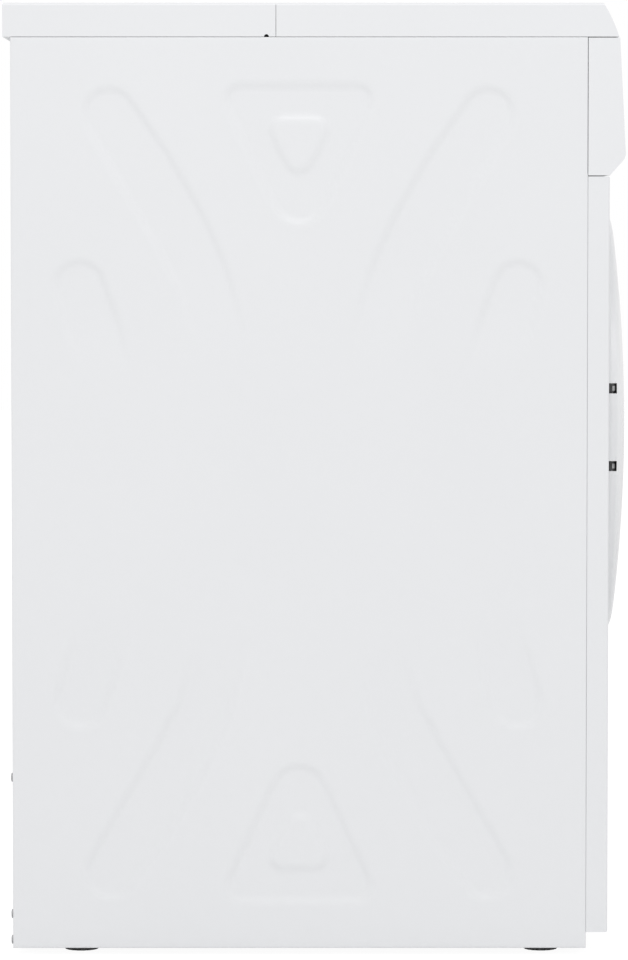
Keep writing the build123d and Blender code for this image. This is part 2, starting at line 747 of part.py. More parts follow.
# Door: a ring moulding with a slightly domed face, a window in its middle and a back that plugs the mouth.
door_back_y = face_y - door_gap
rim_y = door_back_y - door_flank
crown_y = -depth / 2
dome_sag = rim_y - crown_y
dome_radius = (door_radius**2 + dome_sag**2) / (2 * dome_sag)


def dome(radius):
    """Y of the door's domed face at a distance from its middle."""
    return crown_y + dome_radius - sqrt(dome_radius**2 - radius**2)


def dome_arc(start, end, inset=0.0):
    """Part of the domed face between two distances from the middle, moved inwards."""
    middle = (start + end) / 2
    return ThreePointArc(*[(r, dome(r) + inset) for r in (start, middle, end)])


inside_radius = door_radius - door_shell
lip_radius = door_radius - door_back_round - door_shell
window_lip_y = dome(window_radius) + 3 * door_shell
boss_low = hinge_arm_height / 2 + 2 * gap
boss_high = boss_low + hinge_boss

with BuildPart() as hinge_bosses:
    for z, up in product(hinge_heights, (-1, 1)):
        boss_x = (-door_radius, hinge_x + 2 * hinge_eye_radius)
        boss_y = (rim_y + boss_inset, door_back_y - 2 * boss_inset)
        block(boss_x, boss_y, (z + up * boss_low, z + up * boss_high))
    rod(0, door_z, (crown_y, door_back_y), inside_radius + boss_inset / 2, mode=Mode.INTERSECT)

with BuildPart() as door_ring:
    with BuildSketch(Plane.XY.offset(door_z)) as ring_section:
        with BuildLine():
            Polyline(
                (lip_radius, door_back_y), (door_radius, door_back_y), (door_radius, dome(door_radius))
            )
            dome_arc(door_radius, window_radius)
            Polyline(
                (window_radius, dome(window_radius)),
                (window_radius, window_lip_y),
                (window_radius + door_shell, window_lip_y),
                (window_radius + door_shell, dome(window_radius + door_shell) + door_shell),
            )
            dome_arc(window_radius + door_shell, inside_radius - door_shell, door_shell)
            Polyline(
                (inside_radius - door_shell, dome(inside_radius - door_shell) + door_shell),
                (inside_radius, rim_y + 2 * door_shell),
                (inside_radius, door_back_y - door_back_round),
                (lip_radius, door_back_y - door_shell),
                (lip_radius, door_back_y),
            )
        make_face()
        fillet(ring_section.vertices().group_by(Axis.X)[-1].sort_by(Axis.Y)[0], door_front_round)
        fillet(ring_section.vertices().group_by(Axis.X)[-1].sort_by(Axis.Y)[-1], door_back_round)
    revolve(axis=door_axis)
    add(hinge_bosses.part)
    for z in hinge_heights:
        rise = hinge_arm_height / 2 + 2 * gap
        slot_x = (-door_radius, hinge_x + hinge_eye_radius + gap)
        slot_y = (hinge_y - hinge_eye_radius - gap, door_back_y)
        block(slot_x, slot_y, (z - rise, z + rise), mode=Mode.SUBTRACT)
        post(hinge_x, hinge_y, (z - boss_high, z + boss_high), hinge_pin_radius, mode=Mode.SUBTRACT)
door_ring.part.label = "door_ring"
export_step(door_ring.part, "parts/door_ring.step")

with BuildPart() as hinge_pins:
    for z in hinge_heights:
        post(hinge_x, hinge_y, (z - boss_high, z + boss_high), hinge_pin_radius)
hinge_pins.part.label = "hinge_pins"
export_step(hinge_pins.part, "parts/hinge_pins.step")

with BuildPart() as door_window:
    pane = window_radius - running
    with BuildSketch(Plane.XY.offset(door_z)):
        with BuildLine():
            dome_arc(0, pane)
            Line((pane, dome(pane)), (pane, dome(pane) + window_thickness))
            dome_arc(pane, 0, window_thickness)
            Line((0, dome(0) + window_thickness), (0, dome(0)))
        make_face()
    revolve(axis=door_axis)
door_window.part.label = "door_window"
export_step(door_window.part, "parts/door_window.step")

plug_y = door_back_y + plug_depth
plate_radius = lip_radius - gap
with BuildPart() as door_back:
    section = [
        (plate_radius, door_back_y),
        (plug_radius + wall, door_back_y),
        (plug_radius, plug_y),
        (plug_open_radius, plug_y),
        (window_radius, window_lip_y),
        (window_radius + wall, window_lip_y),
        (plug_open_radius + 1.6 * wall, plug_y - wall),
        (plug_radius - wall, plug_y - wall),
        (plug_radius, door_back_y - wall),
        (plate_radius, door_back_y - wall),
    ]
    revolve(turned(section), axis=door_axis)
door_back.part.label = "door_back"
export_step(door_back.part, "parts/door_back.step")

seal_width = 10.0
seal_height = 4.5
with BuildPart() as door_seal:
    seal_in = plug_radius + wall
    section = [
        (seal_in, door_back_y),
        (seal_in + seal_width, door_back_y),
        (seal_in + seal_width * 0.8, door_back_y + seal_height),
        (seal_in + seal_width * 0.3, door_back_y + seal_height),
    ]
    revolve(turned(section), axis=door_axis)
door_seal.part.label = "door_seal"
export_step(door_seal.part, "parts/door_seal.step")

with BuildPart() as door_hook:
    hook = (hook_x - hook_width / 2, hook_x + hook_width / 2)
    hook_z = (door_z - hook_height / 2, door_z + hook_height / 2)
    block(hook, (door_back_y, door_back_y + hook_depth), hook_z)
    throat = (hook[0], hook_x + hook_width / 4)
    throat_y = (door_back_y + hook_depth * 0.5, door_back_y + hook_depth * 0.75)
    block(throat, throat_y, hook_z, mode=Mode.SUBTRACT)
door_hook.part.label = "door_hook"
export_step(door_hook.part, "parts/door_hook.step")

# Hinge bracket: a plate behind the front panel with two arms that reach into the door's flank.
lip_outer = mouth_radius + lip_width
bracket_half = hinge_spread + bracket_margin
bracket_width = 30.0
bracket_right = -lip_outer - 2 * gap
with BuildPart() as hinge_bracket:
    plate_z = (hinge_z - bracket_half, hinge_z + bracket_half)
    block((bracket_right - bracket_width, bracket_right), (panel_in, panel_in + sheet * 2), plate_z)
    for z in hinge_heights:
        rise = hinge_arm_height / 2
        arm = (hinge_x - hinge_arm / 2, hinge_x + hinge_arm / 2)
        block(arm, (hinge_y, panel_in + sheet), (z - rise, z + rise))
        post(hinge_x, hinge_y, (z - rise, z + rise), hinge_eye_radius)
        post(hinge_x, hinge_y, (z - rise, z + rise), hinge_pin_radius + running, mode=Mode.SUBTRACT)
hinge_bracket.part.label = "hinge_bracket"
export_step(hinge_bracket.part, "parts/hinge_bracket.step")

# Door lock: a box behind the front panel that takes the hook.
lock_half = hook_slot_height + lock_margin
lock_depth = 36.0
tube_outer = mouth_radius + wall
with BuildPart() as door_lock:
    lock_y = panel_in + wall
    lock_x = (tube_outer + gap, hook_x + hook_slot + wall)
    block(lock_x, (lock_y, lock_y + lock_depth), (door_z - lock_half, door_z + lock_half))
    ear = (hook_x + hook_slot, hook_x + hook_slot + lock_ear)
    block(ear, (panel_in, lock_y + wall), (door_z - lock_half, door_z + lock_half))
    cavity = (tube_outer + gap + wall / 2, hook_x + hook_slot)
    cavity_y = (lock_y, lock_y + lock_depth - wall)
    block(cavity, cavity_y, (door_z - hook_slot_height, door_z + hook_slot_height), mode=Mode.SUBTRACT)
door_lock.part.label = "door_lock"
export_step(door_lock.part, "parts/door_lock.step")

# Front shield: the fixed front of the drum, with the mouth, the lint filter's pocket and the air intake.
shield_back = shield_y + shield_thickness
drum_front = shield_back + drum_gap
drum_rear = duct_front - drum_setback
felt_seat = drum_neck_radius - felt_thickness
felt_y = (drum_front - felt_width * 0.4, drum_front + felt_width * 0.6)
filter_back = shield_y - wall - gap
filter_front = filter_back - filter_thickness
filter_bottom = condenser_top + filter_clearance
filter_side = filter_width / 2
pocket_side = filter_side + 2 * gap
pocket_top = door_z - mouth_radius * 0.75
intake_radius = 50.0
shroud_radius = fan_radius + fan_room
cooling_fan_back = motor_y - fan_setback
cooling_fan_front = cooling_fan_back - fan_length

with BuildPart() as front_shield:
    block((-lining, lining), (shield_y, shield_back), (tray_top, tank_z - gap - 2 * wall))
    entry = (condenser_left - wall * 2, condenser_right + wall * 2)
    block(entry, (shield_y, shield_back), (tray_top, condenser_top + wall * 2), mode=Mode.SUBTRACT)
    rod(motor_x, motor_z, (shield_back, cooling_fan_back), shroud_radius + wall)
    rod(motor_x, motor_z, (shield_back, cooling_fan_back), shroud_radius, mode=Mode.SUBTRACT)
    rod(motor_x, motor_z, (shield_y, shield_back), intake_radius, mode=Mode.SUBTRACT)
    rod(0, door_z, (panel_in, shield_back), tube_outer)
    rod(0, door_z, (panel_in, panel_in + sheet * 2), lip_outer)
    rod(0, door_z, (shield_back, felt_y[1]), felt_seat)
    rod(0, door_z, (shield_back, felt_y[1]), felt_seat - wall, mode=Mode.SUBTRACT)
    pocket_y = (filter_front - gap - wall, shield_y)
    pocket_x = pocket_side + wall
    block((-pocket_x, pocket_x), pocket_y, (filter_bottom - gap - wall, pocket_top))
    rod(0, door_z, (panel_in, shield_back), mouth_radius, mode=Mode.SUBTRACT)
    cavity_y = (filter_front - gap, filter_back + gap)
    block((-pocket_side, pocket_side), cavity_y, (filter_bottom - gap, door_z), mode=Mode.SUBTRACT)
    drain = pocket_side - wall * 4
    block((-drain, drain), cavity_y, (filter_bottom - gap - wall, door_z), mode=Mode.SUBTRACT)
    hook_way = (tube_outer, lip_outer)
    block(hook_way, (panel_in, panel_in + sheet * 2), catch_z, mode=Mode.SUBTRACT)
front_shield.part.label = "front_shield"
export_step(front_shield.part, "parts/front_shield.step")

# Lint filter: a flat frame that lifts out of the bottom of the mouth, with a fine mesh in its window.
mesh_top = door_z - mouth_radius - 7 * wall
mesh_bottom = filter_bottom + 4 * wall
mesh_side = filter_side - 4 * wall
filter_mid = (filter_front + filter_back) / 2
with BuildPart() as lint_filter_frame:
    block((-filter_side, filter_side), (filter_front, filter_back), (filter_bottom, pocket_top))
    rod(0, door_z, (filter_front, filter_back), mouth_radius + 2 * wall / 5, mode=Mode.SUBTRACT)
    window = (-mesh_side, mesh_side)
    block(window, (filter_front, filter_back), (mesh_bottom, mesh_top), mode=Mode.SUBTRACT)
    grip = (filter_mid - filter_thickness / 4, filter_mid + filter_thickness / 4)
    hold = (-filter_grip / 2, filter_grip / 2)
    block(hold, grip, (mesh_top + 2 * wall, pocket_top), mode=Mode.SUBTRACT)
lint_filter_frame.part.label = "lint_filter_frame"
export_step(lint_filter_frame.part, "parts/lint_filter_frame.step")

with BuildPart() as lint_filter_mesh:
    block((-mesh_side, mesh_side), (filter_mid, filter_mid + sheet), (mesh_bottom, mesh_top))
lint_filter_mesh.part.label = "lint_filter_mesh"
export_step(lint_filter_mesh.part, "parts/lint_filter_mesh.step")

# Drum: a steel shell with a turned-in front edge, a pierced rear wall, three lifters and a rear shaft.
with BuildPart() as drum_shell:
    section = [
        (drum_neck_radius, drum_front),
        (drum_radius, drum_front),
        (drum_radius, drum_rear),
        (drum_radius - drum_sheet, drum_rear),
        (drum_radius - drum_sheet, drum_front + drum_sheet),
        (drum_neck_radius, drum_front + drum_sheet),
    ]
    revolve(turned(section), axis=door_axis)
drum_shell.part.label = "drum_shell"
export_step(drum_shell.part, "parts/drum_shell.step")

wall_back = drum_rear + drum_sheet
with BuildPart() as drum_rear_wall:
    rod(0, door_z, (drum_rear, wall_back), drum_radius)
    with BuildSketch(Plane.XZ.offset(-wall_back)):
        for row, count in drum_hole_rows:
            with Locations((0, door_z)):
                with PolarLocations(row * drum_radius, count):
                    Circle(drum_hole_radius)
    extrude(amount=drum_sheet, mode=Mode.SUBTRACT)
drum_rear_wall.part.label = "drum_rear_wall"
export_step(drum_rear_wall.part, "parts/drum_rear_wall.step")

lifter_seat = sqrt((drum_radius - drum_sheet - gap) ** 2 - (lifter_width / 2) ** 2)
lifter_length = drum_rear - drum_front - felt_width * 2


def lifter_section(inset):
    """Sections of all the lifters, with their top and flanks moved in by an inset."""
    foot = lifter_width / 2 - inset
    crest = lifter_top / 2 - inset / 2
    rise = lifter_height - inset
    with BuildSketch(Plane.XZ.offset(-drum_rear)) as sections:
        with Locations((0, door_z)):
            with PolarLocations(lifter_seat, lifter_count, start_angle=90):
                Polygon((0, -foot), (0, foot), (-rise, crest), (-rise, -crest), align=None)
    return sections.sketch


with BuildPart() as drum_lifters:
    extrude(lifter_section(0), amount=lifter_length)
    extrude(lifter_section(lifter_wall), amount=lifter_length - lifter_wall, mode=Mode.SUBTRACT)
drum_lifters.part.label = "drum_lifters"
export_step(drum_lifters.part, "parts/drum_lifters.step")

bush_radius = shaft_radius + bush_wall
bush_y = (duct_front + wall, duct_front + wall + bush_length)
with BuildPart() as drum_shaft:
    rod(0, door_z, (wall_back, wall_back + shaft_flange), shaft_flange_radius)
    rod(0, door_z, (wall_back + shaft_flange, bush_y[1]), shaft_radius)
drum_shaft.part.label = "drum_shaft"
export_step(drum_shaft.part, "parts/drum_shaft.step")

with BuildPart() as shaft_bush:
    rod(0, door_z, bush_y, bush_radius)
    rod(0, door_z, bush_y, shaft_radius + running, mode=Mode.SUBTRACT)
shaft_bush.part.label = "shaft_bush"
export_step(shaft_bush.part, "parts/shaft_bush.step")

# Drum rollers: two wheels under the drum's front edge, on steel axles in the shield.
roller_reach = drum_radius + gap + roller_radius
roller_x = roller_reach * sin(radians(roller_angle))
roller_z = door_z - roller_reach * cos(radians(roller_angle))
roller_y = (drum_front + roller_inset, drum_front + roller_inset + roller_width)
for side, hand in (("left", -1), ("right", 1)):
    with BuildPart() as roller:
        rod(hand * roller_x, roller_z, roller_y, roller_radius)
        fillet(roller.edges().filter_by(GeomType.CIRCLE), wall)
        rod(hand * roller_x, roller_z, roller_y, axle_radius + running, mode=Mode.SUBTRACT)
    roller.part.label = f"{side}_roller"
    export_step(roller.part, f"parts/{side}_roller.step")

with BuildPart() as roller_axles:
    for hand in (-1, 1):
        rod(hand * roller_x, roller_z, (shield_back, roller_y[1] + wall), axle_radius)
        rod(hand * roller_x, roller_z, (shield_back, roller_y[0] - gap), axle_radius * 1.6)
roller_axles.part.label = "roller_axles"
export_step(roller_axles.part, "parts/roller_axles.step")

# Rear air duct: a pressed shell on the rear panel that leads the hot air from the blower to the drum.
rim_front = wall_back + felt_width * 0.7
inner_circles = tuple((x, z, r - duct_wall) for x, z, r in duct_circles)
with BuildPart() as rear_air_duct:
    extrude(hull(duct_circles, Plane.XZ.offset(-rear_in)), amount=duct_depth)
    inner_plane = Plane.XZ.offset(-(rear_in - duct_wall))
    extrude(hull(inner_circles, inner_plane), amount=duct_depth - 2 * duct_wall, mode=Mode.SUBTRACT)
    rod(0, door_z, (rim_front, duct_front + duct_wall), duct_radius)
    bore = duct_radius - felt_thickness
    rod(0, door_z, (rim_front, duct_front + duct_wall), bore, mode=Mode.SUBTRACT)
    rod(motor_x, motor_z, (duct_front, duct_front + duct_wall), fan_radius, mode=Mode.SUBTRACT)
    rod(0, door_z, (bush_y[0], rear_in - duct_wall), bush_radius + bush_wall)
    rod(0, door_z, bush_y, bush_radius, mode=Mode.SUBTRACT)
rear_air_duct.part.label = "rear_air_duct"
export_step(rear_air_duct.part, "parts/rear_air_duct.step")

with BuildPart() as felt_seals:
    rod(0, door_z, felt_y, drum_neck_radius - gap)
    rod(0, door_z, felt_y, felt_seat, mode=Mode.SUBTRACT)
    rear_felt = (wall_back + gap, rim_front)
    rod(0, door_z, rear_felt, duct_radius)
    rod(0, door_z, rear_felt, duct_radius - felt_thickness, mode=Mode.SUBTRACT)
felt_seals.part.label = "felt_seals"
export_step(felt_seals.part, "parts/felt_seals.step")

# Heater: a ring of sheathed elements that stands on posts in the duct.
heater_back = rear_in - duct_wall - heater_stand
heater_outer = duct_radius - heater_step
heater_inner = heater_outer - heater_width
heater_mid = (heater_outer + heater_inner) / 2
with BuildPart() as heater:
    rod(0, door_z, (heater_back - heater_thickness, heater_back), heater_outer)
    rod(0, door_z, (heater_back - heater_thickness, heater_back), heater_inner, mode=Mode.SUBTRACT)
    for angle in (0, 120, 240):
        x = heater_mid * cos(radians(angle))
        z = door_z + heater_mid * sin(radians(angle))
        rod(x, z, (heater_back - heater_thickness / 2, rear_in - duct_wall), heater_post_radius)
heater.part.label = "heater"
export_step(heater.part, "parts/heater.step")

# Drive: one motor turns both fans on its shaft and the drum through a ribbed belt kept tight by an idler.
centre_distance = sqrt(motor_x**2 + (door_z - motor_z) ** 2)
radius_step = drum_radius - pulley_radius
belt_slope = atan2(radius_step, sqrt(centre_distance**2 - radius_step**2))
belt_angle = atan2(door_z - motor_z, -motor_x) + belt_slope
along = (cos(belt_angle), sin(belt_angle))
outward = (-sin(belt_angle), cos(belt_angle))
idler_reach = pulley_radius + belt_thickness + 2 * gap + idler_radius
idler_x = motor_x + idler_reach * outward[0] + idler_distance * along[0]
idler_z = motor_z + idler_reach * outward[1] + idler_distance * along[1]
pivot_x = idler_x - idler_arm_length * along[0]
pivot_z = idler_z - idler_arm_length * along[1]
arm_y = (motor_end + gap, motor_end + gap + idler_arm_thickness)
idler_y = (belt_y - idler_width / 2, belt_y + idler_width / 2)
process_fan_front = blower_front + 2 * wall

with BuildPart() as motor_housing:
    rod(motor_x, motor_z, (motor_y, motor_end), motor_radius)
    fillet(motor_housing.edges().filter_by(GeomType.CIRCLE), 2 * wall)
    rod(motor_x, motor_z, (motor_y, motor_end), motor_shaft_radius + running, mode=Mode.SUBTRACT)
    rod(pivot_x, pivot_z, (motor_end - wall, arm_y[1] + wall), idler_pin_radius)
motor_housing.part.label = "motor_housing"
export_step(motor_housing.part, "parts/motor_housing.step")

with BuildPart() as motor_shaft:
    rod(motor_x, motor_z, (cooling_fan_front, process_fan_front + fan_length), motor_shaft_radius)
    rod(motor_x, motor_z, (belt_y - pulley_width / 2, belt_y + pulley_width / 2), pulley_radius)
motor_shaft.part.label = "motor_shaft"
export_step(motor_shaft.part, "parts/motor_shaft.step")

for name, start in (("cooling_fan", cooling_fan_front), ("process_fan", process_fan_front)):
    with BuildPart() as fan:
        rod(motor_x, motor_z, (start, start + fan_length), fan_hub_radius)
        rod(motor_x, motor_z, (start + fan_length - wall, start + fan_length), fan_radius)
        blade_length = fan_radius - fan_hub_radius
        with BuildSketch(Plane.XZ.offset(-start)):
            with Locations((motor_x, motor_z)):
                with PolarLocations((fan_radius + fan_hub_radius) / 2, fan_blades):
                    Rectangle(blade_length + wall, blade_thickness, rotation=blade_angle)
        extrude(amount=-fan_length + wall / 2)
        rod(motor_x, motor_z, (start, start + fan_length), fan_radius + wall, mode=Mode.INTERSECT)
        rod(motor_x, motor_z, (start, start + fan_length), motor_shaft_radius, mode=Mode.SUBTRACT)
    fan.part.label = name
    export_step(fan.part, f"parts/{name}.step")

with BuildPart() as blower_housing:
    rod(motor_x, motor_z, (blower_front, blower_back), blower_radius)
    inside = (blower_front + wall, blower_back)
    rod(motor_x, motor_z, inside, blower_radius - wall, mode=Mode.SUBTRACT)
    rod(motor_x, motor_z, (blower_front, blower_back), fan_hub_radius * 2, mode=Mode.SUBTRACT)
blower_housing.part.label = "blower_housing"
export_step(blower_housing.part, "parts/blower_housing.step")

with BuildPart() as drive_belt:
    belt_plane = Plane.XZ.offset(-(belt_y + belt_width / 2))
    inside = ((0, door_z, drum_radius + gap), (motor_x, motor_z, pulley_radius + gap))
    outside = tuple((x, z, r + belt_thickness) for x, z, r in inside)
    extrude(hull(outside, belt_plane), amount=belt_width)
    extrude(hull(inside, belt_plane), amount=belt_width, mode=Mode.SUBTRACT)
drive_belt.part.label = "drive_belt"
export_step(drive_belt.part, "parts/drive_belt.step")

with BuildPart() as idler_arm:
    ends = ((pivot_x, pivot_z, idler_arm_width / 2), (idler_x, idler_z, idler_arm_width / 2))
    extrude(hull(ends, Plane.XZ.offset(-arm_y[1])), amount=idler_arm_thickness)
    rod(pivot_x, pivot_z, arm_y, idler_pin_radius + running, mode=Mode.SUBTRACT)
    rod(idler_x, idler_z, (arm_y[0], idler_y[1] + wall), idler_pin_radius)
    rod(idler_x, idler_z, (arm_y[0], idler_y[0] - gap), idler_arm_width / 2)
idler_arm.part.label = "idler_arm"
export_step(idler_arm.part, "parts/idler_arm.step")

with BuildPart() as idler_pulley:
    rod(idler_x, idler_z, idler_y, idler_radius)
    fillet(idler_pulley.edges().filter_by(GeomType.CIRCLE), idler_round)
    rod(idler_x, idler_z, idler_y, idler_pin_radius + running, mode=Mode.SUBTRACT)
idler_pulley.part.label = "idler_pulley"
export_step(idler_pulley.part, "parts/idler_pulley.step")

# Condenser: a cassette of thin channels that run across and along by turns, behind two turn locks.
layer = (condenser_height - 2 * condenser_rim) / condenser_fins
plate_front = condenser_front - condenser_rim
with BuildPart() as condenser:
    core = (condenser_left, condenser_right)
    core_y = (condenser_front, condenser_back)
    block(core, core_y, (condenser_z, condenser_top))
    for fin in range(condenser_fins):
        low = condenser_z + condenser_rim + fin * layer
        channel = (low + sheet / 2, low + layer - sheet / 2)
        if fin % 2:
            across = (condenser_front + 5 * condenser_rim, condenser_back - 5 * condenser_rim)
            block(core, across, channel, mode=Mode.SUBTRACT)
        else:
            along_x = (condenser_left + condenser_rim, condenser_right - condenser_rim)
            block(along_x, core_y, channel, mode=Mode.SUBTRACT)
    cover = (condenser_left - condenser_rim, condenser_right + condenser_rim)
    block(cover, (plate_front, condenser_front), (condenser_z, condenser_top + condenser_rim))
    lever_z = condenser_z + condenser_height / 2
    lever_places = {"left": condenser_left + lever_length / 2, "right": condenser_right - lever_length / 2}
    for x in lever_places.values():
        rod(x, lever_z, (plate_front, condenser_front), lever_width / 4 + running, mode=Mode.SUBTRACT)
condenser.part.label = "condenser"
export_step(condenser.part, "parts/condenser.step")

for side, x in lever_places.items():
    with BuildPart() as lever:
        with BuildSketch(Plane.XZ.offset(-(plate_front - gap))):
            with Locations((x, lever_z)):
                SlotOverall(lever_length, lever_width, rotation=90)
        extrude(amount=lever_thickness)
        rod(x, lever_z, (plate_front - gap, condenser_front), lever_width / 4)
    lever.part.label = f"{side}_lock_lever"
    export_step(lever.part, f"parts/{side}_lock_lever.step")

# Drain pump: a sump cup with the pump beside it, and a float that rides on a guide pin.
with BuildPart() as drain_pump:
    reach = pump_size / 2
    cup = ((pump_x - reach, pump_x + reach), (pump_y - reach, pump_y + reach))
    block(*cup, (tray_in, tray_in + pump_height))
    hollow = reach - wall
    sump = ((pump_x - hollow, pump_x + hollow), (pump_y - hollow, pump_y + hollow))
    block(*sump, (tray_in + wall, tray_in + pump_height), mode=Mode.SUBTRACT)
    post(pump_x, pump_y, (tray_in, tray_in + pump_height), float_pin_radius)
    body_radius = pump_height / 3
    body_x = pump_x + reach + body_radius - wall
    rod(body_x, tray_in + body_radius, (pump_y - reach * 0.7, pump_y + reach * 0.7), body_radius)
drain_pump.part.label = "drain_pump"
export_step(drain_pump.part, "parts/drain_pump.step")

with BuildPart() as pump_float:
    low = tray_in + wall + gap
    post(pump_x, pump_y, (low, low + float_height), float_radius)
    post(pump_x, pump_y, (low, low + float_height), float_pin_radius + 2 * running, mode=Mode.SUBTRACT)
pump_float.part.label = "pump_float"
export_step(pump_float.part, "parts/pump_float.step")
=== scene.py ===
import json

import bmesh
import bpy
import numpy as np
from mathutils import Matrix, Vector


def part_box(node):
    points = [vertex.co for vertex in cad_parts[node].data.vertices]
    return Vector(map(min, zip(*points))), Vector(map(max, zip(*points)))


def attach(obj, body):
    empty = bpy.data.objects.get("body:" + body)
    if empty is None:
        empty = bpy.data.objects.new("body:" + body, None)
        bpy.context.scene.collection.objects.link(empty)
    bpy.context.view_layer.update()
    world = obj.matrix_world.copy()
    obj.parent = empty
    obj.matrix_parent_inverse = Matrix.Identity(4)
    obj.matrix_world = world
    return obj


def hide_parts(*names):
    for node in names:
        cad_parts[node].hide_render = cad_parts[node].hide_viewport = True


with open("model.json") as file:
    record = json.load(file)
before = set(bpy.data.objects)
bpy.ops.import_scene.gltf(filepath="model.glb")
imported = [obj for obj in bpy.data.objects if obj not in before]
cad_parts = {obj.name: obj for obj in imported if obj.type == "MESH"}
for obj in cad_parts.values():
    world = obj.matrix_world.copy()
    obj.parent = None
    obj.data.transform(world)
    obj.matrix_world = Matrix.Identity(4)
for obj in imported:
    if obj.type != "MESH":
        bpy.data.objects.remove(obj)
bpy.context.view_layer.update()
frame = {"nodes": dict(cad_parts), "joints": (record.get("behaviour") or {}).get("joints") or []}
nodes = frame["nodes"]

# Base tray: a black injection-moulded polypropylene pan that carries the motor, the condenser and the pump.
# It sits on the lower flanges of the side panels and takes the four levelling feet in its bosses.
surface_outputs = {"Colour": "NodeSocketColor", "Roughness": "NodeSocketFloat", "Height": "NodeSocketFloat"}
skin_bump = 0.35


def node_group(name, inputs, outputs):
    """Shader node group with the named sockets. Inputs are {name: default}, where a tuple is a colour and
    a number a value; outputs are {name: socket type}."""
    group = bpy.data.node_groups.new(name, "ShaderNodeTree")
    for label, default in inputs.items():
        kind = "NodeSocketColor" if isinstance(default, tuple) else "NodeSocketFloat"
        group.interface.new_socket(label, in_out="INPUT", socket_type=kind).default_value = default
    for label, kind in outputs.items():
        group.interface.new_socket(label, in_out="OUTPUT", socket_type=kind)
    return group, group.nodes.new("NodeGroupInput").outputs, group.nodes.new("NodeGroupOutput").inputs


def feed(tree, socket, value):
    """Links a socket to another one, or sets it to a plain value."""
    if isinstance(value, bpy.types.NodeSocket):
        tree.links.new(value, socket)
    else:
        socket.default_value = value


def maths(tree, operation, *values):
    """Output of a Math node whose inputs are sockets or numbers."""
    node = tree.nodes.new("ShaderNodeMath")
    node.operation = operation
    for socket, value in zip(node.inputs, values):
        feed(tree, socket, value)
    return node.outputs[0]


def noise(tree, scale, detail, stretch=None):
    """Noise over the piece's own coordinates; stretch scales each axis, for grain that runs one way."""
    place = tree.nodes.new("ShaderNodeTexCoord").outputs["Object"]
    if stretch is not None:
        mapping = tree.nodes.new("ShaderNodeMapping")
        mapping.inputs["Scale"].default_value = stretch
        tree.links.new(place, mapping.inputs["Vector"])
        place = mapping.outputs["Vector"]
    texture = tree.nodes.new("ShaderNodeTexNoise")
    texture.inputs["Detail"].default_value = detail
    tree.links.new(place, texture.inputs["Vector"])
    feed(tree, texture.inputs["Scale"], scale)
    return texture.outputs["Fac"]


def blend_colours(tree, mask, first, second):
    """Colour that goes from the first to the second as the mask goes from 0 to 1."""
    mix = tree.nodes.new("ShaderNodeMix")
    mix.data_type = "RGBA"
    tree.links.new(mask, mix.inputs["Factor"])
    feed(tree, mix.inputs[6], first)
    feed(tree, mix.inputs[7], second)
    return mix.outputs[2]


def make_skin():
    """Surface skin: fine grain for the bump, and broad soft marks that shift the colour and the gloss."""
    group, given, result = node_group(
        "surface_skin",
        {"Colour": (0.8, 0.8, 0.8, 1.0), "Marked colour": (0.75, 0.75, 0.75, 1.0), "Gloss loss": 0.4,
         "Gloss spread": 0.1, "Grain per metre": 900.0, "Marks per metre": 6.0},
        surface_outputs,
    )
    grain = noise(group, given["Grain per metre"], 3.0)
    marks = noise(group, given["Marks per metre"], 5.0)
    spread = maths(group, "MULTIPLY", maths(group, "SUBTRACT", marks, 0.5), given["Gloss spread"])
    group.links.new(blend_colours(group, marks, given["Colour"], given["Marked colour"]), result["Colour"])
    group.links.new(maths(group, "ADD", given["Gloss loss"], spread), result["Roughness"])
    group.links.new(grain, result["Height"])
    return group


skin = make_skin()


def plain_shader(name, **sockets):
    """New material and its Principled shader, with uniform numbers set on the shader's own sockets."""
    material = bpy.data.materials.new(name)
    material.use_nodes = True
    shader = material.node_tree.nodes["Principled BSDF"]
    for label, value in sockets.items():
        shader.inputs[label.replace("_", " ").title().replace("Ior", "IOR")].default_value = value
    return material, material.node_tree, shader


def bump(tree, shader, height, strength, distance):
    """Bump from a height socket into the shader's Normal; distance is in metres."""
    node = tree.nodes.new("ShaderNodeBump")
    node.inputs["Strength"].default_value = strength
    node.inputs["Distance"].default_value = distance
    tree.links.new(height, node.inputs["Height"])
    tree.links.new(node.outputs["Normal"], shader.inputs["Normal"])


def surfaced(name, group, values, strength, distance, **sockets):
    """Material whose colour, gloss and bump come from a surface group that is given these values."""
    material, tree, shader = plain_shader(name, **sockets)
    surface = tree.nodes.new("ShaderNodeGroup")
    surface.node_tree = group
    for label, value in values.items():
        surface.inputs[label].default_value = value
    tree.links.new(surface.outputs["Colour"], shader.inputs["Base Color"])
    tree.links.new(surface.outputs["Roughness"], shader.inputs["Roughness"])
    bump(tree, shader, surface.outputs["Height"], strength, distance)
    return material


def skinned(name, colour, marked, gloss_loss, spread, grain, marks, relief, **sockets):
    """Material on the surface skin: two linear colours, roughness and its spread, grain and marks per metre,
    and the height of the grain."""
    values = {"Colour": (*colour, 1.0), "Marked colour": (*marked, 1.0), "Gloss loss": gloss_loss,
              "Gloss spread": spread, "Grain per metre": grain, "Marks per metre": marks}
    return surfaced(name, skin, values, skin_bump, relief, **sockets)


def dress(material, *names):
    """Gives CAD nodes a material."""
    for name in names:
        slots = nodes[name].data.materials
        slots.clear()
        slots.append(material)


black_plastic = skinned("black_plastic", (0.018, 0.018, 0.020), (0.030, 0.030, 0.032), 0.55, 0.2,
                        1400.0, 9.0, 0.00012)
dress(black_plastic, "base_tray", "blower_housing", "cooling_fan", "process_fan")

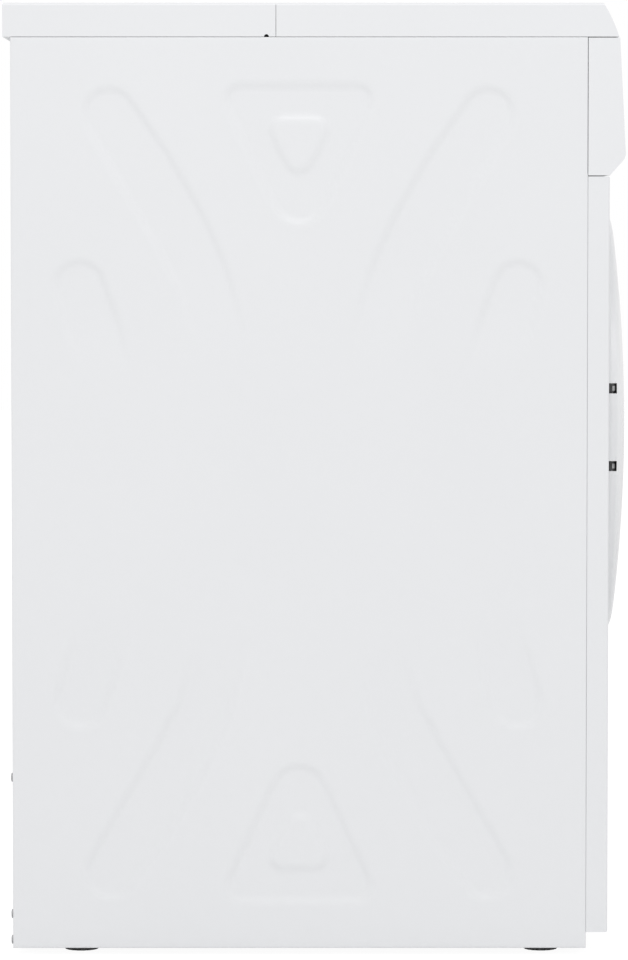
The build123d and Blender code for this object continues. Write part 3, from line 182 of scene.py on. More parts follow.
# Levelling feet: moulded rubber pads on steel studs that screw into the tray's bosses.
# The pad's rim is scalloped so that it can be turned by hand; the stud carries a coarse thread.
foot_turns = 72
scallops = 18
scallop_depth = 0.0006
scallop_start = 0.85  # shares of the pad's radius
scallop_fade = 0.12
thread_pitch = 0.0018
thread_depth = 0.0005
thread_steps = 90
pad_top = 0.0073
pad_share_r = np.array([0.0, 0.8, 0.93, 1.0, 1.0, 0.98, 0.93, 0.6])
pad_share_z = np.array([0.0, 0.0, 0.0, 0.14, 0.62, 0.84, 1.0, 1.0])
stud_radius = 0.0050
weld = 1e-6
upright = ((1, 0, 0), (0, 1, 0), (0, 0, 1))


def grid_faces(rows, columns, around=False):
    """Quads of a grid: cell (i, j) joins points (i, j), (i, j + 1), (i + 1, j + 1) and (i + 1, j).
    With around, the last column joins the first."""
    i, j = np.meshgrid(np.arange(rows - 1), np.arange(columns if around else columns - 1), indexing="ij")
    k = (j + 1) % columns
    corners = (i * columns + j, i * columns + k, (i + 1) * columns + k, (i + 1) * columns + j)
    return np.stack(corners, -1).reshape(-1, 4)


def piece(name, points, faces, smooth=True):
    """Mesh object from points (any grid of x, y, z in metres) and quads, left at the origin. Points that
    fall together, as at the poles of a turned surface, are merged."""
    mesh = bpy.data.meshes.new(name)
    points = np.asarray(points, np.float32).reshape(-1, 3)
    mesh.vertices.add(len(points))
    mesh.vertices.foreach_set("co", points.ravel())
    mesh.loops.add(faces.size)
    mesh.loops.foreach_set("vertex_index", np.ascontiguousarray(faces, np.int32).ravel())
    mesh.polygons.add(len(faces))
    mesh.polygons.foreach_set("loop_start", np.arange(0, faces.size, faces.shape[1], dtype=np.int32))
    mesh.polygons.foreach_set("use_smooth", np.full(len(faces), smooth))
    mesh.update(calc_edges=True)
    mesh.validate()
    welded = bmesh.new()
    welded.from_mesh(mesh)
    bmesh.ops.remove_doubles(welded, verts=welded.verts, dist=weld)
    welded.to_mesh(mesh)
    welded.free()
    thing = bpy.data.objects.new(name, mesh)
    bpy.context.scene.collection.objects.link(thing)
    return thing


def carry(thing, body, slot, material, *stands_for):
    """Puts a finished piece on its body with its material, and hides the CAD nodes it stands for; the slot is
    not used.
    """
    thing.data.materials.append(material)
    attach(thing, body)
    if stands_for:
        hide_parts(*stands_for)


def soft_step(value):
    """Smooth rise from 0 to 1 as the value goes from 0 to 1: 3 v^2 - 2 v^3, flat outside."""
    value = np.clip(value, 0.0, 1.0)
    return value * value * (3.0 - 2.0 * value)


def around(centre, axes, radius, height, angle):
    """Points at a radius and an angle from an axis and a height along it. axes are the two directions that
    the angle turns through, and the axis itself."""
    across, over, along = (np.asarray(axis, float) for axis in axes)
    spread = (radius * np.cos(angle))[..., None] * across + (radius * np.sin(angle))[..., None] * over
    return np.asarray(centre, float) + spread + height[..., None] * along


def turning(section_r, section_h, turns):
    """Grids of radius, height and angle for a section that is swept round its axis in a number of steps."""
    theta = np.linspace(0.0, 2 * np.pi, turns, endpoint=False)
    radius, angle = np.meshgrid(section_r, theta, indexing="ij")
    return radius, np.repeat(np.asarray(section_h, float)[:, None], turns, 1), angle


def threaded_foot(name, node):
    """Turned surface: radius r(s) and height z(s) along the section, swept round theta. On the pad's rim r
    loses a scallop, depth * (1 + cos(n theta)) / 2; on the stud it loses a thread, a cosine of
    z / pitch - theta / 2 pi."""
    low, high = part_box(node)
    pad_radius = (high.x - low.x) / 2
    stud = np.linspace(pad_top, high.z, thread_steps)
    section_r = np.concatenate((pad_share_r * pad_radius, np.full(len(stud), stud_radius), [0.0]))
    section_z = np.concatenate((pad_share_z * pad_top, stud, [high.z]))
    r, z, angle = turning(section_r, section_z, foot_turns)
    rim = soft_step((r / pad_radius - scallop_start) / scallop_fade)
    on_stud = (np.arange(len(section_r)) >= len(pad_share_r))[:, None] & (r > 0)
    r = r - rim * scallop_depth * (1 + np.cos(scallops * angle)) / 2
    r = r - on_stud * thread_depth * (1 + np.cos(2 * np.pi * z / thread_pitch - angle)) / 2
    centre = ((low.x + high.x) / 2, (low.y + high.y) / 2, 0.0)
    faces = grid_faces(len(section_r), foot_turns, around=True)
    return piece(name, around(centre, upright, r, z, angle), faces)


foot_rubber = skinned("foot_rubber", (0.220, 0.222, 0.226), (0.270, 0.272, 0.276), 0.75, 0.15,
                      1800.0, 30.0, 0.00015)
for corner in ("front_left", "front_right", "rear_left", "rear_right"):
    foot = threaded_foot(f"{corner}_level_foot", f"{corner}_foot")
    carry(foot, f"{corner}_foot", "foot_rubber", foot_rubber, f"{corner}_foot")

# Side panels: one sheet of zinc-coated steel each, enamelled white, with turned-in edges.
# Stiffening pockets are pressed into the sheet; the ribs among them fade out towards the middle.
panel_low, panel_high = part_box("left_side_panel")
panel_middle = (panel_low + panel_high) / 2
sheet = 0.0009
press_depth = 0.0019
press_slope = 0.0042  # width of a pocket's sloping wall
edge_round = 0.0010
edge_steps = 5
panel_step = 0.0032
seam_fill = (0.00075, 0.0004)  # how far the front fold reaches into its joint, below and beside the fascia
seam_drop = 0.0003  # joint between the upper fold and the top frame
fascia_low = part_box("fascia")[0]
long_rib = ((0.1680, 0.3385, 0.0220), (0.1340, 0.2845, 0.0245), (0.1065, 0.2370, 0.0240),
            (0.0865, 0.1955, 0.0225), (0.0720, 0.1450, 0.0220))
short_rib = ((0.1950, 0.1855, 0.0215), (0.1730, 0.1160, 0.0215))
triangle = ((0.0515, 0.3505, 0.0130), (-0.0515, 0.3505, 0.0130), (0.0, 0.2660, 0.0230))
island = ((0.0145, 0.3245, 0.0105), (-0.0145, 0.3245, 0.0105), (0.0, 0.2985, 0.0115))
long_fade_start = 0.115  # way from the panel's middle at which a rib begins
long_fade = 0.100
short_fade_start = 0.100
short_fade = 0.070
outline_directions = 72


def inside(u, v, circles):
    """Distance inside the outline drawn tight round circles (u, v, radius): the least over all directions n
    of the outline's reach, max(n . centre + radius), less n . point."""
    centre_u, centre_v, radius = np.array(circles).T
    angle = np.linspace(0.0, 2 * np.pi, outline_directions, endpoint=False)[:, None]
    reach = (np.cos(angle) * centre_u + np.sin(angle) * centre_v + radius).max(1)
    return (reach - np.cos(angle[:, 0]) * u[..., None] - np.sin(angle[:, 0]) * v[..., None]).min(-1)


def pressed(u, v, circles):
    """Share of the depth inside an outline: a soft step of the distance inside it, half at the outline."""
    return soft_step(inside(u, v, circles) / press_slope + 0.5)


def press_relief(u, v):
    """Depth share of the pressed pattern at u and v, the distances from the panel's middle to front or rear
    and up or down: two ribs and a triangle with a raised island in it, alike in all four quarters. The ribs
    fade out towards the middle."""
    rib = np.max([pressed(u, v, ends) for ends in zip(long_rib, long_rib[1:])], axis=0)
    rib = rib * soft_step((v - long_fade_start) / long_fade)
    stub = pressed(u, v, short_rib) * soft_step((v - short_fade_start) / short_fade)
    return np.maximum(np.maximum(rib, stub), pressed(u, v, triangle) - pressed(u, v, island))


def folded(low, high, inward_reach):
    """Places along a sheet that is rolled over and turned in at both ends, and how far in each place lies:
    flange, quarter circle, flat, quarter circle, flange."""
    flat = np.linspace(low + edge_round, high - edge_round, int((high - low) / panel_step))
    bend = np.linspace(0.0, np.pi / 2, edge_steps)[1:]
    out = np.append(high - edge_round + edge_round * np.sin(bend), high)
    inward = np.append(edge_round * (1 - np.cos(bend)), inward_reach)
    places = np.concatenate((low + high - out[::-1], flat, out))
    return places, np.concatenate((inward[::-1], np.zeros_like(flat), inward))


def side_sheet(name, hand):
    """Sheet over the panel: x is its outer face, moved inwards by the larger of the two folds and by the
    pressed pattern. The front fold reaches forwards into its joint. The four corner cells of the flanges are
    left out, as the corner notches of the blank."""
    reach = panel_high.x - panel_low.x
    y, y_in = folded(panel_low.y, panel_high.y, reach)
    z, z_in = folded(panel_low.z, panel_high.z - seam_drop, reach)
    grid_y, grid_z = np.meshgrid(y, z, indexing="ij")
    front_fold = np.argmin(y_in)
    grid_y[:front_fold] -= np.where(z < fascia_low.z, *seam_fill)
    relief = press_relief(np.abs(grid_y - panel_middle.y), np.abs(grid_z - panel_middle.z))
    inward = np.maximum(y_in[:, None], z_in[None, :]) + press_depth * relief
    grid_x = -hand * (panel_low.x + inward)
    faces = grid_faces(len(y), len(z))
    cells = np.arange(len(faces)).reshape(len(y) - 1, len(z) - 1)
    faces = np.delete(faces, cells[[0, 0, -1, -1], [0, -1, 0, -1]], axis=0)
    return piece(name, np.stack((grid_x, grid_y, grid_z), -1), faces if hand < 0 else faces[:, ::-1])


def thicken(thing, thickness):
    """Gives a sheet its thickness, inwards from the face that was modelled."""
    wall = thing.modifiers.new("thickness", "SOLIDIFY")
    wall.thickness = thickness
    wall.offset = -1.0


white_enamel = skinned("white_enamel", (0.800, 0.807, 0.822), (0.780, 0.788, 0.804), 0.34, 0.06,
                       700.0, 5.0, 0.00006)
for side, hand in (("left", -1), ("right", 1)):
    panel = side_sheet(f"{side}_pressed_panel", hand)
    thicken(panel, sheet)
    carry(panel, "cabinet", "white_enamel", white_enamel, f"{side}_side_panel")

# Rear panel and cross rails: plain zinc-coated sheet, folded and screwed to the side panels' flanges.
# The zinc shows its spangle, a patchwork of pale and dark crystals half a centimetre or so across.
spangle_gloss = 0.34
spangle_spread = 0.18
spangle_grain = 1500.0
spangle_bump = 0.2
spangle_relief = 0.00005


def make_spangle():
    """Zinc spangle: cells of a Voronoi pattern, each with its own brightness and gloss, and fine noise for
    the bump."""
    group, given, result = node_group(
        "zinc_spangle",
        {"Colour": (0.5, 0.5, 0.5, 1.0), "Bright colour": (0.6, 0.6, 0.6, 1.0), "Cells per metre": 120.0},
        surface_outputs,
    )
    cells = group.nodes.new("ShaderNodeTexVoronoi")
    group.links.new(group.nodes.new("ShaderNodeTexCoord").outputs["Object"], cells.inputs["Vector"])
    group.links.new(given["Cells per metre"], cells.inputs["Scale"])
    tone = group.nodes.new("ShaderNodeSeparateColor")
    group.links.new(cells.outputs["Color"], tone.inputs["Color"])
    shade = blend_colours(group, tone.outputs["Red"], given["Colour"], given["Bright colour"])
    gloss = maths(group, "MULTIPLY_ADD", tone.outputs["Green"], spangle_spread, spangle_gloss)
    group.links.new(shade, result["Colour"])
    group.links.new(gloss, result["Roughness"])
    group.links.new(noise(group, spangle_grain, 2.0), result["Height"])
    return group


zinc_values = {"Colour": (0.53, 0.545, 0.56, 1.0), "Bright colour": (0.60, 0.61, 0.625, 1.0),
               "Cells per metre": 160.0}
zinc_sheet = surfaced("zinc_sheet", make_spangle(), zinc_values, spangle_bump, spangle_relief, metallic=1.0)
dress(zinc_sheet, "top_rails", "rear_air_duct")

joints = {joint["name"]: joint for joint in frame["joints"]}
rear_low, rear_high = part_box("rear_panel")
gland_low, gland_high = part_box("mains_gland")
gland_hole = 0.0075
drum_height = joints["drum_spin"]["pos_m"][2]
rear_step = 0.0042
rear_clear = rear_step * 0.3  # least way from an even grid line to a louvre's edge
cover_radius = 0.2320
cover_rise = 0.0030
cover_fade = 0.010
hub_radius = 0.062
sunk_share = 0.7  # how far the hub and the spokes sink back towards the sheet
spoke_count = 8
spoke_half = 0.011
spoke_slope = 0.006
spoke_start = 0.085
spoke_end = cover_radius - 0.026
bead_place = 0.262
bead_half = 0.007
bead_slope = 0.005
bead_ends = (0.200, 0.690)
bead_rise = 0.002
end_fade = 0.012  # of spokes and beads
louvre_rows = 0.110 + 0.012 * (np.arange(10) - 4.5)
louvre_half = 0.0025
louvre_sides = (-0.210, -0.090)
louvre_rise = 0.0030
louvre_hood = 0.0065
louvre_fade = 0.004
edge_slack = 1e-6  # counts the grid line on a louvre's edge to its hood


def rear_relief(x, z):
    """How far the sheet stands out: a round cover over the air duct with a sunk hub and sunk spokes, each
    a soft step of a distance; two upright beads; and a hood over each louvre that slopes back to the sheet
    above it."""
    radius, turn = np.hypot(x, z - drum_height), np.arctan2(z - drum_height, x)
    cover = soft_step((cover_radius - radius) / cover_fade)
    hub = soft_step((hub_radius - radius) / cover_fade)
    off_spoke = np.abs(np.sin(turn * spoke_count / 2)) * 2 / spoke_count * radius
    spoke = soft_step((spoke_half - off_spoke) / spoke_slope) * soft_step((radius - spoke_start) / end_fade)
    spoke = spoke * soft_step((spoke_end - radius) / end_fade)
    bead = soft_step((bead_half - np.abs(np.abs(x) - bead_place)) / bead_slope)
    bead = bead * soft_step((z - bead_ends[0]) / end_fade) * soft_step((bead_ends[1] - z) / end_fade)
    above = (z[..., None] - louvre_rows - louvre_half) / louvre_hood
    hood = np.where((above > -edge_slack) & (above < 1.0), 1.0 - above, 0.0).max(-1)
    hood = hood * soft_step((x - louvre_sides[0]) / louvre_fade)
    hood = hood * soft_step((louvre_sides[1] - x) / louvre_fade)
    cover = cover - sunk_share * hub - sunk_share * spoke
    return cover_rise * cover + bead_rise * bead + louvre_rise * hood


def rear_sheet(name):
    """Sheet in x and z, pushed out by its relief. Grid lines run along the louvres' edges, and the cells
    inside a louvre and inside the gland's hole are left out."""
    edges = np.concatenate((louvre_rows - louvre_half, louvre_rows + louvre_half))
    even = np.arange(rear_low.z, rear_high.z, rear_step)
    even = even[np.abs(even[:, None] - edges).min(1) > rear_clear]
    z = np.sort(np.concatenate((even, edges, [rear_high.z])))
    even = np.arange(rear_low.x, rear_high.x, rear_step)
    x = np.sort(np.concatenate((even, louvre_sides, [rear_high.x])))
    grid_x, grid_z = np.meshgrid(x, z, indexing="ij")
    points = np.stack((grid_x, rear_high.y + rear_relief(grid_x, grid_z), grid_z), -1)
    mid_x, mid_z = np.meshgrid((x[1:] + x[:-1]) / 2, (z[1:] + z[:-1]) / 2, indexing="ij")
    in_row = (np.abs(mid_z[..., None] - louvre_rows) < louvre_half).any(-1)
    hole = in_row & (mid_x > louvre_sides[0]) & (mid_x < louvre_sides[1])
    gland = (gland_low + gland_high) / 2
    hole = hole | (np.hypot(mid_x - gland.x, mid_z - gland.z) < gland_hole)
    return piece(name, points, grid_faces(len(x), len(z))[~hole.ravel()])


rear_panel = rear_sheet("pressed_rear_panel")
thicken(rear_panel, sheet)
carry(rear_panel, "cabinet", "zinc_sheet", zinc_sheet, "rear_panel")

# Rear screws: pan-head steel screws with a cross recess, three on each rear flange.
# The mains gland is a rubber grommet in a hole of the rear panel.
brushing_bump = 0.15
brushing_relief = 0.00004
brushing_stretch = (1.0, 0.03, 1.0)
brushing_lines = 900.0
brushing_patches = 18.0


def make_brushing():
    """Brushed or turned metal: noise drawn out along one axis, for the colour, the gloss and the bump."""
    group, given, result = node_group(
        "brushing",
        {"Colour": (0.5, 0.5, 0.5, 1.0), "Worn colour": (0.4, 0.4, 0.4, 1.0), "Gloss loss": 0.3,
         "Gloss spread": 0.15},
        surface_outputs,
    )
    lines = noise(group, brushing_lines, 3.0, brushing_stretch)
    patches = noise(group, brushing_patches, 4.0)
    gloss = maths(group, "MULTIPLY_ADD", lines, given["Gloss spread"], given["Gloss loss"])
    group.links.new(blend_colours(group, patches, given["Colour"], given["Worn colour"]), result["Colour"])
    group.links.new(gloss, result["Roughness"])
    group.links.new(lines, result["Height"])
    return group


brushing = make_brushing()


def brushed(name, colour, worn, gloss_loss, spread):
    """Bare metal with fine lines along Y, the way the drum's strip was rolled and shafts were turned."""
    values = {"Colour": (*colour, 1.0), "Worn colour": (*worn, 1.0), "Gloss loss": gloss_loss,
              "Gloss spread": spread}
    return surfaced(name, brushing, values, brushing_bump, brushing_relief, metallic=1.0)


turned_steel = brushed("turned_steel", (0.46, 0.46, 0.47), (0.36, 0.36, 0.37), 0.26, 0.2)
dress(turned_steel, "roller_axles", "motor_shaft", "hinge_pins", "idler_arm", "drum_shaft")
screw_head = 0.0040
screw_shank = 0.0019
screw_dome = 0.55  # 1 would bring the head's rim down to its seat
screw_rings = 22
screw_turns = 48
screw_recess = 0.0011
recess_arm = 0.0005
recess_slope = 0.0003
recess_reach = 0.0023
recess_end = 0.0006
screw_middle = 0.0366
backwards = ((1, 0, 0), (0, 0, -1), (0, 1, 0))


def pan_screw(x, z, tip, seat, top):
    """Turned pan head with a shank, its axis along Y. On the head, y drops by a cross recess: a soft step of
    how far a point lies inside either arm of the cross."""
    share = np.linspace(0.0, 1.0, screw_rings)
    dome = seat + (top - seat) * np.sqrt(1.0 - screw_dome * share**2)
    section_r = np.concatenate((share * screw_head, [screw_head, screw_shank, screw_shank, 0.0]))
    section_y = np.concatenate((dome, [seat, seat, tip, tip]))
    r, y, angle = turning(section_r, section_y, screw_turns)
    off_axis = np.minimum(np.abs(r * np.cos(angle)), np.abs(r * np.sin(angle)))
    cross = soft_step((recess_arm - off_axis) / recess_slope + 0.5)
    cross = cross * soft_step((recess_reach - r) / recess_end)
    y = y - (np.arange(len(section_r)) < screw_rings)[:, None] * screw_recess * cross
    faces = grid_faces(len(section_r), screw_turns, around=True)
    return around((x, 0.0, z), backwards, r, y, angle), faces


def gathered(name, parts, smooth=True):
    """One piece from several grids of points with their quads."""
    points = [grid.reshape(-1, 3) for grid, quads in parts]
    starts = np.cumsum([0] + [len(grid) for grid in points])
    faces = [quads + start for (grid, quads), start in zip(parts, starts)]
    return piece(name, np.concatenate(points), np.concatenate(faces), smooth)


screw_low, screw_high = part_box("rear_screws")
screw_rows = (screw_low.z + screw_head, screw_middle, screw_high.z - screw_head)
screw_parts = [
    pan_screw(side * (screw_high.x - screw_head), z, screw_low.y, panel_high.y, screw_high.y)
    for side in (-1, 1)
    for z in screw_rows
]
carry(gathered("pan_screws", screw_parts), "cabinet", "steel", turned_steel, "rear_screws")

rubber = skinned("rubber", (0.022, 0.022, 0.023), (0.034, 0.034, 0.035), 0.62, 0.15, 1600.0, 25.0, 0.00012)
dress(rubber, "mains_gland", "drive_belt", "left_roller", "right_roller")

# Drive and air path: a cast motor with a steel shaft, a moulded blower, a sheathed heater ring in the rear
# duct. They stand on the tray behind the front shield and only show with the panels off.
cast_metal = skinned("cast_metal", (0.36, 0.37, 0.38), (0.28, 0.29, 0.30), 0.45, 0.2, 500.0, 14.0, 0.0002,
                     metallic=0.9)
dress(cast_metal, "motor_housing")
heater_metal = brushed("heater_metal", (0.40, 0.37, 0.34), (0.27, 0.22, 0.19), 0.38, 0.2)
dress(heater_metal, "heater")
bush_bronze = brushed("bush_bronze", (0.52, 0.36, 0.17), (0.40, 0.26, 0.11), 0.30, 0.2)
dress(bush_bronze, "shaft_bush")
felt = skinned("felt", (0.40, 0.38, 0.35), (0.30, 0.28, 0.26), 0.95, 0.05, 2200.0, 60.0, 0.0006)
dress(felt, "felt_seals")
fin_metal = brushed("fin_metal", (0.70, 0.71, 0.72), (0.60, 0.61, 0.62), 0.30, 0.2)
dress(fin_metal, "condenser")
grey_plastic = skinned("grey_plastic", (0.30, 0.31, 0.33), (0.26, 0.27, 0.29), 0.48, 0.12,
                       1200.0, 9.0, 0.00010)
dress(grey_plastic, "drain_pump", "pump_float", "idler_pulley")
lever_plastic = skinned("lever_plastic", (0.020, 0.080, 0.200), (0.028, 0.095, 0.225), 0.42, 0.1,
                        1200.0, 12.0, 0.0001)
dress(lever_plastic, "left_lock_lever", "right_lock_lever")

# Drum: a shell rolled from stainless strip, its inside covered with small pressed dimples.
# The front edge is rolled inwards, the pierced rear wall is seamed on, and lifters are screwed inside.
drum_low, drum_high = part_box("drum_shell")
drum_radius = (drum_high.x - drum_low.x) / 2
drum_centre = (0.0, 0.0, drum_height)
drum_sheet = 0.0008
drum_neck = drum_radius - 0.0278
drum_roll = 0.0060
roll_steps = 7
shell_steps = 84
dimple_height = 0.0012
dimples_around = 56
dimples_along = 12
dimple_margin = 0.7  # of a pitch, left plain at both ends
shell_turns = 6 * dimples_around
frontwards = ((1, 0, 0), (0, 0, 1), (0, 1, 0))


def dimpled_shell(name):
    """Cylinder from rear to front, a quarter circle and the turned-in edge. Dimples push the wall inwards by
    height * max(a, b)^2, where a and b are two square patterns of raised cosines, half a pitch apart."""
    bend = np.linspace(0.0, np.pi / 2, roll_steps)
    straight = np.linspace(drum_high.y, drum_low.y + drum_roll, shell_steps)
    rolled = drum_radius - drum_roll * (1 - np.cos(bend))
    section_r = np.concatenate((np.full(shell_steps, drum_radius), rolled, [drum_neck]))
    section_y = np.concatenate((straight, drum_low.y + drum_roll * (1 - np.sin(bend)), [drum_low.y]))
    r, y, angle = turning(section_r, section_y, shell_turns)
    along = (y - drum_low.y) / (drum_high.y - drum_low.y) * dimples_along
    around_drum = angle / (2 * np.pi) * dimples_around

    def squares(shift):
        waves = [(1 + np.cos(2 * np.pi * (place + shift))) / 2 for place in (along, around_drum)]
        return waves[0] * waves[1]

    clear = soft_step(along - dimple_margin) * soft_step(dimples_along - dimple_margin - along)
    r = r - clear * dimple_height * np.maximum(squares(0.0), squares(0.5)) ** 2
    faces = grid_faces(len(section_r), shell_turns, around=True)
    return piece(name, around(drum_centre, frontwards, r, y, angle), faces)


drum_steel = brushed("drum_steel", (0.60, 0.605, 0.61), (0.52, 0.525, 0.53), 0.20, 0.18)
dress(drum_steel, "drum_rear_wall")
shell = dimpled_shell("dimpled_drum_shell")
thicken(shell, drum_sheet)
carry(shell, "drum", "drum_steel", drum_steel, "drum_shell")

lifter_low, lifter_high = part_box("drum_lifters")
lifter_half = 0.0345
lifter_rise = 0.0520
lifter_end = 0.0400
lifter_wall = 0.0010
lifter_fullness = 0.75  # power of the cosine; less makes the paddle fuller
lifter_seat = drum_radius - drum_sheet - 0.0015
lifter_angles = np.radians((90.0, 210.0, 330.0))


def lifter(angle):
    """Paddle along the drum: across its width u from -1 to 1 it rises by a raised cosine,
    (0.5 + 0.5 cos(pi u))^fullness, and at the front end the rise follows a quarter ellipse. Its foot lies on
    the inside of the shell."""
    u = np.linspace(-1.0, 1.0, 41)
    end_line = lifter_low.y + lifter_end
    nose = lifter_low.y + lifter_end * (1 - np.cos(np.linspace(0.0, np.pi / 2, 16)))
    y = np.concatenate((nose, np.linspace(end_line, lifter_high.y, 12)[1:]))
    bell = (0.5 + 0.5 * np.cos(np.pi * u)) ** lifter_fullness
    end = np.sqrt(np.clip(1.0 - (np.clip(end_line - y, 0.0, None) / lifter_end) ** 2, 0.0, 1.0))
    foot = np.sqrt(lifter_seat ** 2 - (lifter_half * u) ** 2)
    radial = foot[None, :] - lifter_rise * bell[None, :] * end[:, None]
    across = np.broadcast_to(lifter_half * u, radial.shape)
    x = radial * np.cos(angle) - across * np.sin(angle)
    z = radial * np.sin(angle) + across * np.cos(angle)
    points = np.stack((x, np.broadcast_to(y[:, None], x.shape), z + drum_height), -1)
    return points, grid_faces(len(y), len(u))


lifter_grey = skinned("lifter_grey", (0.22, 0.225, 0.235), (0.19, 0.195, 0.205), 0.42, 0.12,
                      1200.0, 10.0, 0.0001)
lifters = gathered("moulded_lifters", [lifter(angle) for angle in lifter_angles])
thicken(lifters, lifter_wall)
carry(lifters, "drum", "black_plastic", lifter_grey, "drum_lifters")

# Front shield and lint filter: grey mouldings behind the front panel, with the loading mouth and the
# filter's well. The filter is a frame that lifts out by its grip, with a fine polyester gauze welded into it.
dress(grey_plastic, "front_shield", "lint_filter_frame")
gauze_share = 0.6  # height of the wave below which a thread covers
gauze_bump = 0.6
gauze_relief = 0.0002


def object_axes(tree):
    """X, Y and Z of the piece's own coordinates."""
    split = tree.nodes.new("ShaderNodeSeparateXYZ")
    tree.links.new(tree.nodes.new("ShaderNodeTexCoord").outputs["Object"], split.inputs[0])
    return split.outputs


def make_weave():
    """Plain weave: a thread shows where |sin(pi n x)| or |sin(pi n z)| is small; each thread is highest at
    its middle."""
    group, given, result = node_group(
        "gauze_weave", {"Threads per metre": 900.0, "Thread share": 0.55},
        {"Cover": "NodeSocketFloat", "Height": "NodeSocketFloat"})
    axes = object_axes(group)
    turns = maths(group, "MULTIPLY", given["Threads per metre"], np.pi)
    phases = [maths(group, "MULTIPLY", axes[label], turns) for label in "XZ"]
    waves = [maths(group, "ABSOLUTE", maths(group, "SINE", phase)) for phase in phases]
    least = maths(group, "MINIMUM", *waves)
    group.links.new(maths(group, "LESS_THAN", least, given["Thread share"]), result["Cover"])
    group.links.new(maths(group, "SUBTRACT", 1.0, least), result["Height"])
    return group


gauze = skinned("gauze", (0.055, 0.058, 0.062), (0.090, 0.094, 0.098), 0.62, 0.2, 2600.0, 40.0, 0.0002)
weave = gauze.node_tree.nodes.new("ShaderNodeGroup")
weave.node_tree = make_weave()
weave.inputs["Thread share"].default_value = gauze_share
gauze_shader = gauze.node_tree.nodes["Principled BSDF"]
gauze.node_tree.links.new(weave.outputs["Cover"], gauze_shader.inputs["Alpha"])
bump(gauze.node_tree, gauze_shader, weave.outputs["Height"], gauze_bump, gauze_relief)
dress(gauze, "lint_filter_mesh")

# Front panel: enamelled sheet like the sides, with the openings of the mouth and of the lower flap cut in
# it, folded back at its edges and screwed to the side panels behind the fascia. The flap is a moulding.
dress(white_enamel, "front_panel")
white_plastic = skinned("white_plastic", (0.800, 0.807, 0.822), (0.782, 0.790, 0.806), 0.36, 0.08,
                        900.0, 6.0, 0.00006)
dress(white_plastic, "condenser_flap")

# Door: a domed white ring with the two hinge slots in its flank, a smoked window and a grey back.
# The halves are clipped together round the window; blackened hinge arms reach into the slots and hold the
# pins. A bright glint is painted on each knuckle, and the slots' walls are painted black as shade.
# Painted light: the door's white is a lighter copy of the white plastic, to offset the shade that the front
# panel casts on its flank.
door_white = skinned("door_white", (0.870, 0.875, 0.885), (0.855, 0.861, 0.872), 0.34, 0.08,
                     900.0, 6.0, 0.00006)
bracket_low, bracket_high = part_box("hinge_bracket")
hinge_middle = (bracket_low.z + bracket_high.z) / 2
hinge_x, hinge_y = joints["door_swing"]["pos_m"][:2]
hinge_spread = 0.0355
slot_half = 0.00465
slot_inner = hinge_x + 0.0040
slot_front = hinge_y - 0.0042
# Painted shade: black laid on the hinge slots' walls, where shade falls in the recesses.
painted_slot_shade = (0.004, 0.004, 0.004, 1.0)
# Painted glint: a bright steel patch on each knuckle stands in for a highlight.
glint_y = hinge_y - 0.0015
glint_half_y = 0.0012
glint_half_z = 0.0021
painted_glint_colour = (0.46, 0.46, 0.465, 1.0)


def within(tree, value, middle, half):
    """1 where a value lies within half of the middle, else 0."""
    away = maths(tree, "ABSOLUTE", maths(tree, "SUBTRACT", value, middle))
    return maths(tree, "LESS_THAN", away, half)


def at_hinges(tree, z, half):
    """1 within half of the middle height of either hinge arm, else 0."""
    off_middle = maths(tree, "ABSOLUTE", maths(tree, "SUBTRACT", z, hinge_middle))
    return within(tree, off_middle, hinge_spread, half)


def tint(tree, colour, *masks):
    """Lays a colour over a material's own where all masks are 1."""
    base = tree.nodes["Principled BSDF"].inputs["Base Color"]
    plain = base.links[0].from_socket
    mask = masks[0]
    for other in masks[1:]:
        mask = maths(tree, "MULTIPLY", mask, other)
    tree.links.new(blend_colours(tree, mask, plain, colour), base)


def paint_slot_shade(tree):
    """Painted shade: black inside the hinge slots, where shade falls: |z - middle| within a slot's half
    height of the hinge's spread, x further out than the slots' ends, and y behind the slots' front ends. Only
    the slots' own walls lie there."""
    x, y, z = object_axes(tree)
    tint(tree, painted_slot_shade, at_hinges(tree, z, slot_half), maths(tree, "GREATER_THAN", y, slot_front),
         maths(tree, "LESS_THAN", x, slot_inner))


def paint_knuckle_glint(tree):
    """Painted glint: bright steel on a patch of each hinge knuckle's outer side, where a highlight falls,
    with
    |y - place| and |z - middle| within the patch's half sizes and x further out than the pin."""
    x, y, z = object_axes(tree)
    tint(tree, painted_glint_colour, at_hinges(tree, z, glint_half_z), within(tree, y, glint_y, glint_half_y),
         maths(tree, "LESS_THAN", x, hinge_x))


paint_slot_shade(door_white.node_tree)
dress(door_white, "door_ring")
dress(white_plastic, "door_hook")
dress(grey_plastic, "door_back", "door_lock")
black_steel = skinned("black_steel", (0.045, 0.045, 0.047), (0.060, 0.060, 0.062), 0.42, 0.2,
                      900.0, 30.0, 0.00005)
paint_knuckle_glint(black_steel.node_tree)
dress(black_steel, "hinge_bracket")

haze_bump = 0.3
window_low, window_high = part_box("door_window")
pane_radius = (window_high.x - window_low.x) / 2
pane_thickness = 0.0030
pane_edge = 0.0005
pane_rings = 30
pane_turns = 120


def hazed(name, scale, detail, spread, least, relief=0.0, **sockets):
    """Clear or glossy material whose roughness, and with a relief its bump, follows a soft haze."""
    material, tree, shader = plain_shader(name, **sockets)
    haze = noise(tree, scale, detail)
    tree.links.new(maths(tree, "MULTIPLY_ADD", haze, spread, least), shader.inputs["Roughness"])
    if relief:
        bump(tree, shader, haze, haze_bump, relief)
    return material


def door_turned(name, section_r, section_y, turns):
    """Piece turned round the door's axis; the section is taken backwards, so that faces point outwards."""
    r, y, angle = turning(section_r[::-1], section_y[::-1], turns)
    faces = grid_faces(len(section_r), turns, around=True)
    return piece(name, around(drum_centre, frontwards, r, y, angle), faces)


